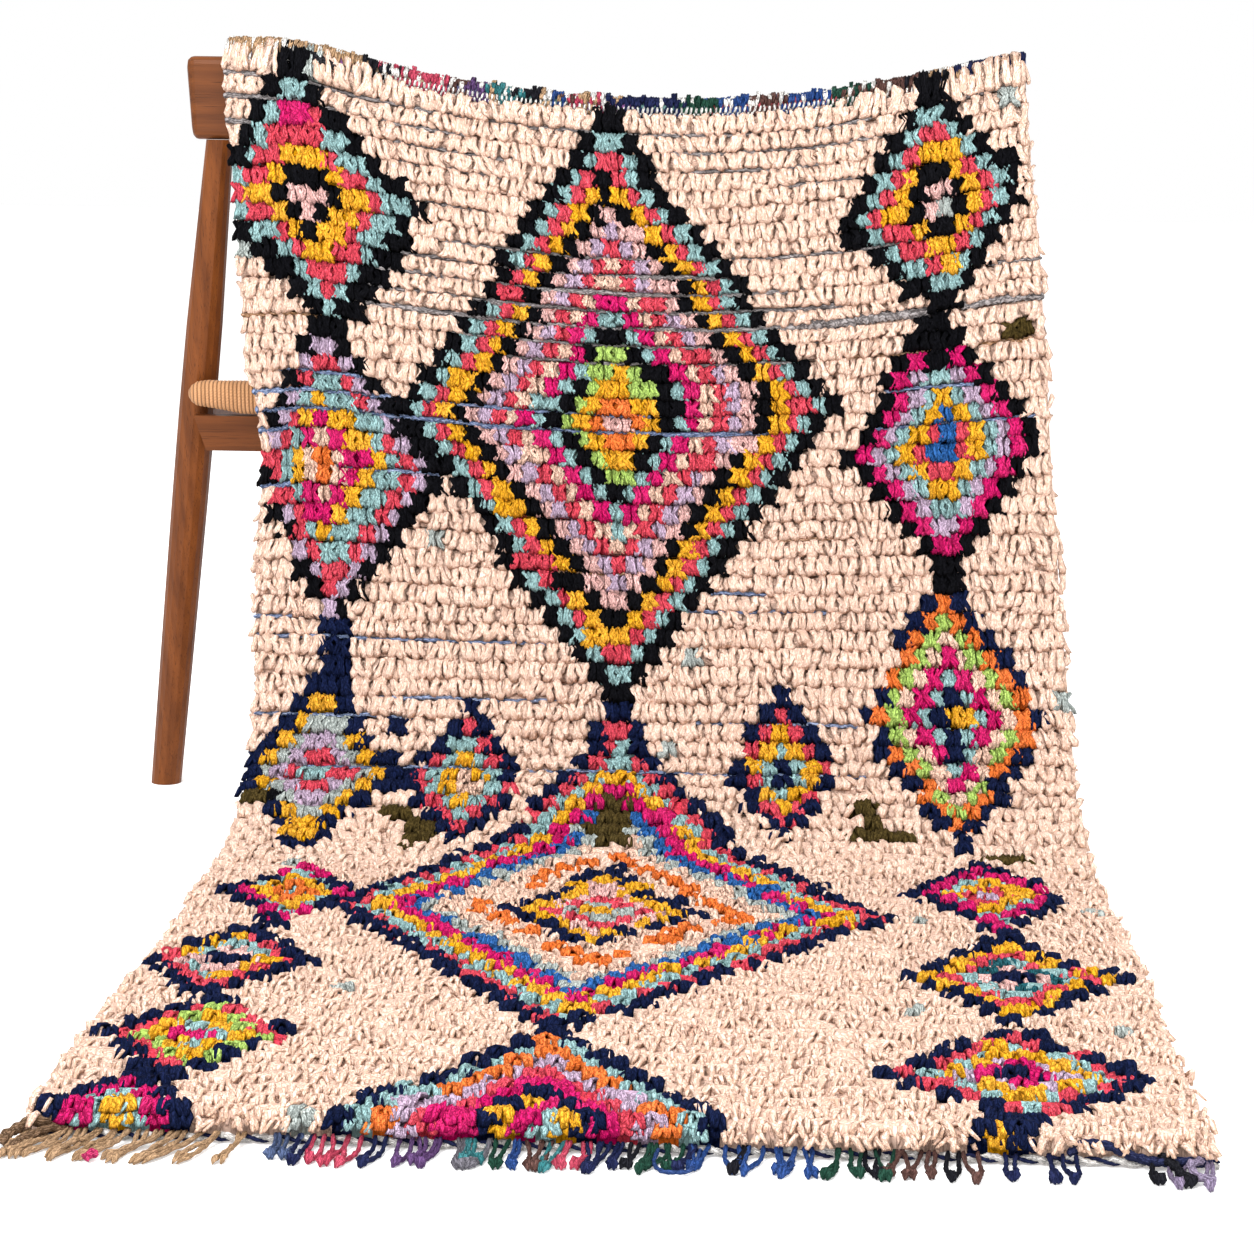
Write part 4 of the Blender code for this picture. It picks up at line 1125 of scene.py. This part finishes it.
def band_stitches(places, low, high, wide, rise, seed):
    """Short upright stitches on the rolled band.

    Each is a small folded strip from low to high along the cloth that bulges
    in the middle by rise above the band.
    """
    n = places * 31.7 + seed

    def chance(k):
        return speckle(n, k)[:, None]

    u = np.array([0.0, 0.3, 0.7, 1.0])[None]
    x = places[:, None] + 0.0010 * (chance(1) - 0.5) + 0.0050 * (chance(9) - 0.7) * (u - 0.5)
    along = high + (low - high) * u + 0.0008 * (chance(2) - 0.5)
    base = band_face(along, x) - 0.0006
    lift = base + rise * np.array([0.1, 1.0, 1.0, 0.1]) * (0.8 + 0.4 * chance(3))
    half = wide * np.array([0.6, 1.0, 1.0, 0.6]) * (0.85 + 0.3 * chance(4))
    thick = np.full_like(half, 0.0011) * (0.8 + 0.6 * chance(5))
    turn = 0.5 * (chance(6) - 0.5) + 0 * u
    points, maps = rag_strips(x, along, lift, half, thick, 0.7 * speckle(n, 7), turn, n)
    return points, maps, np.repeat(chance(8), u.size * len(FOLDED[0]), axis=1)


def head_band(sizes):
    """The band's stitches: the white ones, and the others by yarn.

    Rows of stitches go round the roll, every second one white; over its brow
    go three uneven rows of knotted loops, some raised, a fifth of them white.
    """
    half = sizes.rug_width / 2 - 0.003
    pitch = sizes.rug_width / sizes.knots_across
    white, by_yarn = [], {word: [] for word in END_YARNS}
    bounds = np.array([-half] + [-sizes.rug_width / 2 + pitch * run[0] for run in BAND_RUNS])

    def share(lot, pale, places):
        white.append(tuple(part[pale] for part in lot))
        run = np.clip(np.searchsorted(bounds, places) - 1, 0, len(BAND_RUNS) - 1)
        for k, (_, word) in enumerate(BAND_RUNS):
            mine = (run == k) & ~pale
            if mine.any():
                by_yarn[word].append(tuple(part[mine] for part in lot))

    for k, (name, low, high, step) in enumerate(STITCH_ROWS):
        places = np.arange(-half + 0.002, half - 0.001, step)
        lot = band_stitches(places, ALONG[name] + low / 1000, ALONG[name] + high / 1000,
                            step * 0.50, 0.0022, k * 5.0)
        share(lot, np.arange(len(places)) % 2 == k % 2, places)
    for k, (low, high) in enumerate(((-0.0004, 0.0056), (0.0040, 0.0110), (0.0020, 0.0080))):
        places = np.arange(-half + 0.001, half, 0.0050) + 0.0016 * k
        places = places + 0.0024 * (speckle(places * 911.0, k) - 0.5)
        grow = 0.6 + 0.8 * speckle(places * 311.0, k) + 1.3 * (speckle(places * 77.0, k) > 0.88)
        grow = grow * (1.0 - 0.55 * eased(0.5, 0.9, np.abs(places) / half))
        lot = band_stitches(places, ALONG["front_turn"] + low, ALONG["front_turn"] + high,
                            0.0026, 0.0028 * grow[:, None], 40.0 + k)
        share(lot, speckle(places * 143.0, k) > 0.80,
              places + 0.160 * (speckle(places * 577.0, k) - 0.5) ** 3)
    return white, by_yarn


# -------------------------------------------------------------------- the chair
POST_TOP_Z = 0.8427 - 0.0930 - 0.0003
SEAT_TOP, SEAT_GAP, RAKE = 0.4780, 0.0003, 0.124
CORD_PITCH = 0.0085     # of the woven seat
PAD_FRONT_Y, PAD_TOP, PAD_LOW = 0.5055, 0.4660, 0.4503
PAD_HALF_BACK, PAD_HALF_FRONT = 0.4262, 0.3735


def post_front(z):
    """The raked plane that touches the front of both rear posts."""
    return RAKE * (1.0 - np.asarray(z) / POST_TOP_Z) - 0.0212


def wound_rail():
    """The rear seat rail, wound with cord.

    A rounded rectangle is carried along X and pushed out by half a circle over
    each turn of the cord, so the turns stand side by side; its size follows
    the rail's own, from the round end inward.
    """
    half, steps, ring, power = 0.4575, 4, 16, 0.62
    turns = int(2 * half / 0.0045)
    t = np.arange(turns * steps + 1) / (turns * steps)
    x = -half + 2 * half * t
    d = half - np.abs(x)
    tall = np.interp(d, (0.0, 0.003, 0.009, 0.020, 0.060, 0.20),
                     (0.008, 0.018, 0.026, 0.030, 0.037, 0.039)) - 0.0018
    deep = np.interp(d, (0.0, 0.003, 0.009, 0.020), (0.012, 0.022, 0.029, 0.030)) - 0.0022
    a = around(ring)
    cy, cz = (np.sign(v) * np.abs(v) ** power for v in (np.cos(a), np.sin(a)))
    wound = t[:, None] * turns + 0.10 * np.sin(a)[None] + 0.5
    bulge = 0.0014 * np.sqrt(np.maximum(0.0, 1.0 - (2.0 * np.mod(wound, 1.0) - 1.0) ** 2))
    bulge = bulge + 0.0002 * np.sin(x[:, None] * 130.0 + 2 * a)
    middle = SEAT_TOP - 0.0005 - (0.030 - np.minimum(tall + 0.0018, 0.030)) / 2 - tall / 2
    z = middle[:, None] + (tall[:, None] / 2 + bulge) * cz
    y = post_front(z) - SEAT_GAP - 0.0150 + (deep[:, None] / 2 + bulge) * cy
    y = np.minimum(y, post_front(z) - SEAT_GAP)
    points = in_frame(np.broadcast_to(x[:, None] + CHAIR_X, y.shape), y, z)
    return points[None], np.stack(np.broadcast_arrays(wound, 0.018 * a[None]), -1)


def woven_seat():
    """The cord seat: a trapezoid pad whose top crowns a little and whose cords run
    to the nearest rail, each a ridge; a superellipse rounds the rim."""
    n, m = 100, 36
    u, v = np.meshgrid(np.linspace(-1, 1, n), np.linspace(0, 1, m), indexing="ij")
    y_back = post_front(0.458) + 0.0010
    y = y_back + (PAD_FRONT_Y - y_back) * v
    half = PAD_HALF_BACK + (PAD_HALF_FRONT - PAD_HALF_BACK) * v
    x = CHAIR_X + u * half
    rim = np.minimum(1.0 - np.abs(u), np.minimum(v, 1.0 - v) * 1.2)
    roll = 1.0 - eased(0.0, 0.035, rim)
    crown = 0.0012 * np.sin(np.pi * v) * (1.0 - u * u)
    side = (1.0 - np.abs(u)) * half < np.minimum(v, 1 - v) * 0.42
    across, along = np.where(side, y, x), np.where(side, x, y)
    cords = np.sin(across * TAU / CORD_PITCH) * 0.0004
    top = PAD_TOP - 0.0016 + crown * 0.8 + cords * (1 - roll) - 0.0045 * roll
    low = np.full_like(top, PAD_LOW) + 0.0030 * roll
    points = np.concatenate([in_frame(x, y, z).reshape(-1, 3) for z in (top, low)])
    corners, _ = sheet_faces(n, m, [0, 3, 2, 1])
    maps = np.tile(np.stack([across / CORD_PITCH, along], -1).reshape(-1, 2), (2, 1))
    return dict(points=points, corners=corners, counts=np.full(len(corners) // 4, 4), maps=maps)


# ------------------------------------------------------------------- properties
def length(name, about, default, least, most):
    return FloatProperty(name=name, description=about, default=default, min=least, max=most,
                         unit="LENGTH")


def number(name, about, default):
    return IntProperty(name=name, description=about, default=default, min=10, max=200)


def colour(name, about, default):
    return FloatVectorProperty(name=name, description=about, default=default, min=0.0, max=1.0,
                               size=3, subtype="COLOR")


class RugSizes(bpy.types.PropertyGroup):
    """Sizes of the rug."""
    rug_width: length("Rug width", "Finished width of the rug", RUG_WIDTH, 0.3, 2.0)
    knot_rows: number("Rows of knots", "Rows from the head to the near end", 78)
    knots_across: number("Knots across", "Knots in one row", 58)
    cloth_thickness: length("Ground thickness", "Thickness of the woven ground under the pile",
                            0.0046, 0.001, 0.015)
    weft_thickness: length("Weft thickness", "Diameter of the wefts that show between rows",
                           0.0058, 0.001, 0.009)


class RagColours(bpy.types.PropertyGroup):
    """Colours of the rags."""


for _name, _colour in PALETTE.items():
    RagColours.__annotations__[_name] = colour(
        _name.capitalize(), "Colour of the " + _name + " rags", _colour)


class ChairLook(bpy.types.PropertyGroup):
    """Finish of the chair."""
    wood_light: colour("Wood, light", "Lighter colour of the grain", (0.192, 0.0550, 0.0105))
    wood_dark: colour("Wood, dark", "Darker colour of the grain", (0.078, 0.0200, 0.0032))
    cord: colour("Seat cord", "Colour of the twisted paper cord", (0.520, 0.235, 0.078))


class StageLook(bpy.types.PropertyGroup):
    """Floor and light."""
    floor: colour("Floor", "Colour of the floor", (0.90, 0.90, 0.90))
    key_power: FloatProperty(name="Key light", description="Power of the large front light",
                             default=134.0, min=0.0, max=1000.0, unit="POWER")


# -------------------------------------------------------------------- operators
class RUG_OT_ground(bpy.types.Operator):
    """Weave the ground cloth over the rail and down to the floor"""
    bl_idname = "rug.ground"
    bl_label = "Ground cloth"

    def execute(self, context):
        ground = add_piece("ground_cloth", finish=weave_finish(), slot="rag_pile",
                           **ground_cloth(context.scene.rug_sizes))
        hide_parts("rug_cloth")
        return {"FINISHED"}


PLUMP = {"black": 0.9, "magenta": 1.0, "yellow": 0.8, "orange": 0.8, "navy": 0.9,
         "royal": 0.8, "olive": 0.9}
KNIT = {"seafoam": 0.9, "lilac": 0.9, "coral": 0.7, "mist": 0.9, "pink": 0.6}
CREAM_PARTS = ((0, 16), (16, 32), (32, 46), (46, 62), (62, 78))   # rows of each piece
CREAM_FLOOR = 46                                                  # its first row of narrow rags
# The cream rags' crease colour, a tan: painted shade in their creases and folds, and their dark
# heather flecks.
CREAM_LOOK = {"deep": 0.80, "pale": 0.22, "crease": (0.560, 0.340, 0.225)}


class RUG_OT_pile(bpy.types.Operator):
    """Tie the rag pile, one piece for each colour of rag"""
    bl_idname = "rug.pile"
    bl_label = "Rag pile"

    def execute(self, context):
        sizes, rags = context.scene.rug_sizes, context.scene.rag_colours
        packed, tints = packed_rows(sizes)
        add_tubes("pile_packed", packed, packed_finish(), "rag_pile", tints=tints)
        chart = knot_chart(sizes.knot_rows, sizes.knots_across)
        for which, word in enumerate(NAMES):
            r, c = np.nonzero(chart == which)
            cream, knit, plump = word == "cream", KNIT.get(word, 0.15), PLUMP.get(word, 0.0)
            look = CREAM_LOOK if cream else {"pale": 0.14}
            finish = rag_finish("Rag " + word, tuple(getattr(rags, word)),
                                heather=0.16 + 0.45 * knit, ribs=knit, **look)
            for part, (first, last) in enumerate(
                    CREAM_PARTS if cream else ((0, sizes.knot_rows),)):
                mine = (r >= first) & (r < last)
                kind = "folded" if not cream else "narrow" if first >= CREAM_FLOOR else "loose"
                lots = [pile_of(r[mine], c[mine], sizes, kind, plump)]
                final = mine & (r == sizes.knot_rows - 1)
                if final.any():    # half a row more, short, over the end of the weave
                    lots.append(pile_of(r[final] + 0.30, c[final], sizes, kind, plump, 0.72))
                name = "pile_" + word + ("_%d" % (part + 1) if cream else "")
                add_tubes(name, joined(lots), finish, "rag_pile")
        return {"FINISHED"}


class RUG_OT_wefts(bpy.types.Operator):
    """Lay the twisted wefts that show between some rows"""
    bl_idname = "rug.wefts"
    bl_label = "Weft lines"

    def execute(self, context):
        for seed, (word, spans) in enumerate(WEFTS.items()):
            finish = rag_finish("Weft " + word, WEFT_COLOURS[word], heather=1.0, ribs=0.6,
                                deep=0.35, pale=0.75)
            add_tubes("weft_" + word, lines_of_weft(spans, context.scene.rug_sizes, seed * 10.0),
                      finish, "rag_pile")
        return {"FINISHED"}


class RUG_OT_head_band(bpy.types.Operator):
    """Work the dotted, knotted band along the rolled head end"""
    bl_idname = "rug.head_band"
    bl_label = "Head band"

    def execute(self, context):
        white, by_yarn = head_band(context.scene.rug_sizes)
        yarns = [("white", white, (0.86, 0.83, 0.79))]
        yarns += [(word, lots, shaded(END_YARNS[word], 0.80)[:3])
                  for word, lots in by_yarn.items() if lots]
        for word, lots, colour in yarns:
            add_tubes("band_" + word, joined(lots), rag_finish("Band " + word, colour),
                      "warp_cord")
        return {"FINISHED"}


class RUG_OT_near_ends(bpy.types.Operator):
    """Twist the edging and knot the strands along the near end"""
    bl_idname = "rug.near_ends"
    bl_label = "Near edging and ends"

    def execute(self, context):
        sizes, made = context.scene.rug_sizes, []
        for word, phase, colour, thick in (("cream", 0.0, (0.90, 0.86, 0.82), 0.0024),
                                           ("navy", math.pi, END_YARNS["navy"], 0.0015)):
            made.append(add_tubes("edging_" + word, edging_rope(phase, sizes, thick),
                                  rag_finish("Edging " + word, colour, heather=0.5, ribs=0.5),
                                  "warp_cord"))
        for seed, (word, columns) in enumerate(NEAR_ENDS):
            add_tubes("ends_" + word, near_ends(columns, sizes, seed * 3.0, float(word == "tan")),
                      rag_finish("Ends " + word, END_YARNS[word], heather=0.5, ribs=0.6),
                      "warp_cord")
        for name, yarn, thick, knots in LOOSE_ROPES:
            add_tubes("ends_" + name, rope_through(knots, thick, len(name) * 1.0),
                      rag_finish("Loop " + name, END_YARNS[yarn], heather=0.9, ribs=0.6,
                                 deep=0.45, pale=0.35), "warp_cord")
        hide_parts("near_fringe")
        return {"FINISHED"}


class RUG_OT_far_ends(bpy.types.Operator):
    """Hang the knotted warp ends behind the crest rail"""
    bl_idname = "rug.far_ends"
    bl_label = "Far ends"

    def execute(self, context):
        sizes = context.scene.rug_sizes
        ends = add_tubes("far_ends", far_ends(sizes),
                         rag_finish("Far ends", END_YARNS["navy"], heather=0.5, ribs=0.6),
                         "warp_cord")
        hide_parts("far_fringe")
        add_tubes("far_edging", far_edging(sizes),
                  rag_finish("Far edging", (0.40, 0.33, 0.27), heather=0.5, ribs=0.5),
                  "warp_cord")
        return {"FINISHED"}


class RUG_OT_wood(bpy.types.Operator):
    """Oil the chair's wood, with the grain along each member"""
    bl_idname = "rug.wood"
    bl_label = "Chair wood"

    def execute(self, context):
        look, quarter = context.scene.chair_look, math.pi / 2
        for nodes, finish in (
                (("rear_post_left", "front_leg_right"),
                 wood_finish("Oiled wood, upright", (0.0, 0.09, 0.4), look)),
                (("rear_post_right", "front_leg_left"),
                 wood_finish("Oiled wood, upright right", (0.05, -0.06, 2.1), look,
                             (0.3, 0.1, 0.4))),
                (("crest_rail", "apron_rear", "apron_front"),
                 wood_finish("Oiled wood, crosswise", (0.0, quarter, 0.3), look,
                             (0.1, 0.2, 0.0), (0.80, 0.81, 0.86))),
                (("apron_left", "apron_right"),
                 wood_finish("Oiled wood, front to back", (quarter, 0.0, 0.2), look))):
            for node in nodes:
                for slot in bpy.data.objects[node].material_slots:
                    slot.material = finish
        return {"FINISHED"}


class RUG_OT_cord_work(bpy.types.Operator):
    """Wind the rear seat rail and weave the seat with paper cord"""
    bl_idname = "rug.cord_work"
    bl_label = "Cord rail and seat"

    def execute(self, context):
        colour = tuple(context.scene.chair_look.cord)
        rail = add_tubes("wound_rail", wound_rail(), cord_finish("Wound paper cord", colour),
                         "paper_cord")
        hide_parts("seat_rail_rear")
        seat = add_piece("woven_seat", finish=cord_finish("Woven paper cord", colour),
                         slot="paper_cord", **woven_seat())
        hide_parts("seat_panel")
        return {"FINISHED"}


SOFT_LIGHTS = (   # name, place, what it is aimed at, size, power as a share of the key's
    ("key_light", (-1.2, -3.1, 2.4), (0.0, -0.1, 0.35), 1.5, 1.0),
    ("fill_light", (2.5, -2.3, 1.6), (0.0, 0.0, 0.4), 2.0, 0.35),
    ("top_light", (0.1, -1.6, 3.4), (0.0, -0.5, 0.0), 1.8, 0.47),
    ("back_light", (0.6, 3.0, 2.4), (0.0, 0.2, 0.5), 2.0, 0.30),
)
CAMERA_PLACE = (0.1379, -2.9356, 0.744)
CAMERA_TURNS = ((2.2, "Z"), (90.0, "X"), (0.8, "Z"))    # degrees, last one first
FRAME_PX, FOCAL_PX, HORIZON_PX = 1254.0, 2890.0, 477.0  # horizon above the frame's middle
WHITE = (1.0, 1.0, 1.0, 1.0)


class RUG_OT_stage(bpy.types.Operator):
    """Set the pale floor, the soft studio light and the camera"""
    bl_idname = "rug.stage"
    bl_label = "Stage"

    def execute(self, context):
        scene, look = context.scene, context.scene.stage_look
        finish, nodes, shader = new_finish("Studio floor", 0.1)
        for key, value in (("Base Color", tuple(look.floor) + (1.0,)), ("Roughness", 0.85),
                           ("Emission Color", WHITE), ("Emission Strength", 0.30)):
            nodes.feed(shader[key], value)
        mesh = bpy.data.meshes.new("studio_floor")
        mesh.from_pydata([(-30, -30, -0.0002), (30, -30, -0.0002), (30, 30, -0.0002),
                          (-30, 30, -0.0002)], [], [(0, 1, 2, 3)])
        mesh.materials.append(finish)
        floor = bpy.data.objects.new("studio_floor", mesh)
        scene.collection.objects.link(floor)
        for name, place, target, size, share in SOFT_LIGHTS:
            data = bpy.data.lights.new(name, "AREA")
            data.shape, data.size, data.energy = "SQUARE", size, look.key_power * share
            light = bpy.data.objects.new(name, data)
            light.matrix_world = Matrix.Translation(place) @ (
                Vector(target) - Vector(place)).to_track_quat("-Z", "Y").to_matrix().to_4x4()
            scene.collection.objects.link(light)
        scene.world = bpy.data.worlds.new("Studio")
        scene.world.use_nodes = True
        sky = scene.world.node_tree.nodes["Background"].inputs
        sky["Color"].default_value, sky["Strength"].default_value = WHITE, 1.0

        data = bpy.data.cameras.new("camera")
        data.sensor_width, data.lens = 36.0, FOCAL_PX / FRAME_PX * 36.0
        data.shift_x, data.shift_y = 0.0053, -HORIZON_PX / FRAME_PX
        data.clip_end = 100.0
        camera = bpy.data.objects.new("camera", data)
        camera.matrix_world = Matrix.Translation(CAMERA_PLACE)
        for degrees, axis in CAMERA_TURNS:
            camera.matrix_world = camera.matrix_world @ Matrix.Rotation(
                math.radians(degrees), 4, axis)
        scene.collection.objects.link(camera)
        scene.camera = camera
        scene.view_settings.view_transform = "Standard"
        return {"FINISHED"}


class RUG_PT_panel(bpy.types.Panel):
    """Makes the rug and its chair, piece by piece"""
    bl_idname = "RUG_PT_panel"
    bl_label = "Rug on a chair"
    bl_space_type = "VIEW_3D"
    bl_region_type = "UI"
    bl_category = "Rug"

    def draw(self, context):
        for key in GROUPS:
            group, box = getattr(context.scene, key), self.layout.box()
            for value in group.__annotations__:
                box.prop(group, value)
        for operator in OPERATORS:
            self.layout.operator(operator.bl_idname)


OPERATORS = (RUG_OT_stage, RUG_OT_ground, RUG_OT_pile, RUG_OT_wefts, RUG_OT_head_band,
             RUG_OT_near_ends, RUG_OT_far_ends, RUG_OT_wood, RUG_OT_cord_work)
GROUPS = {"rug_sizes": RugSizes, "rag_colours": RagColours, "chair_look": ChairLook,
          "stage_look": StageLook}


def register():
    for key, group in GROUPS.items():
        bpy.utils.register_class(group)
        setattr(bpy.types.Scene, key, PointerProperty(type=group))
    for kind in OPERATORS + (RUG_PT_panel,):
        bpy.utils.register_class(kind)


def unregister():
    for kind in reversed(OPERATORS + (RUG_PT_panel,)):
        bpy.utils.unregister_class(kind)
    for key, group in GROUPS.items():
        delattr(bpy.types.Scene, key)
        bpy.utils.unregister_class(group)


def main():
    register()
    for operator in OPERATORS:
        getattr(bpy.ops.rug, operator.bl_idname.split(".")[1])()


if __name__ == "__main__":
    main()
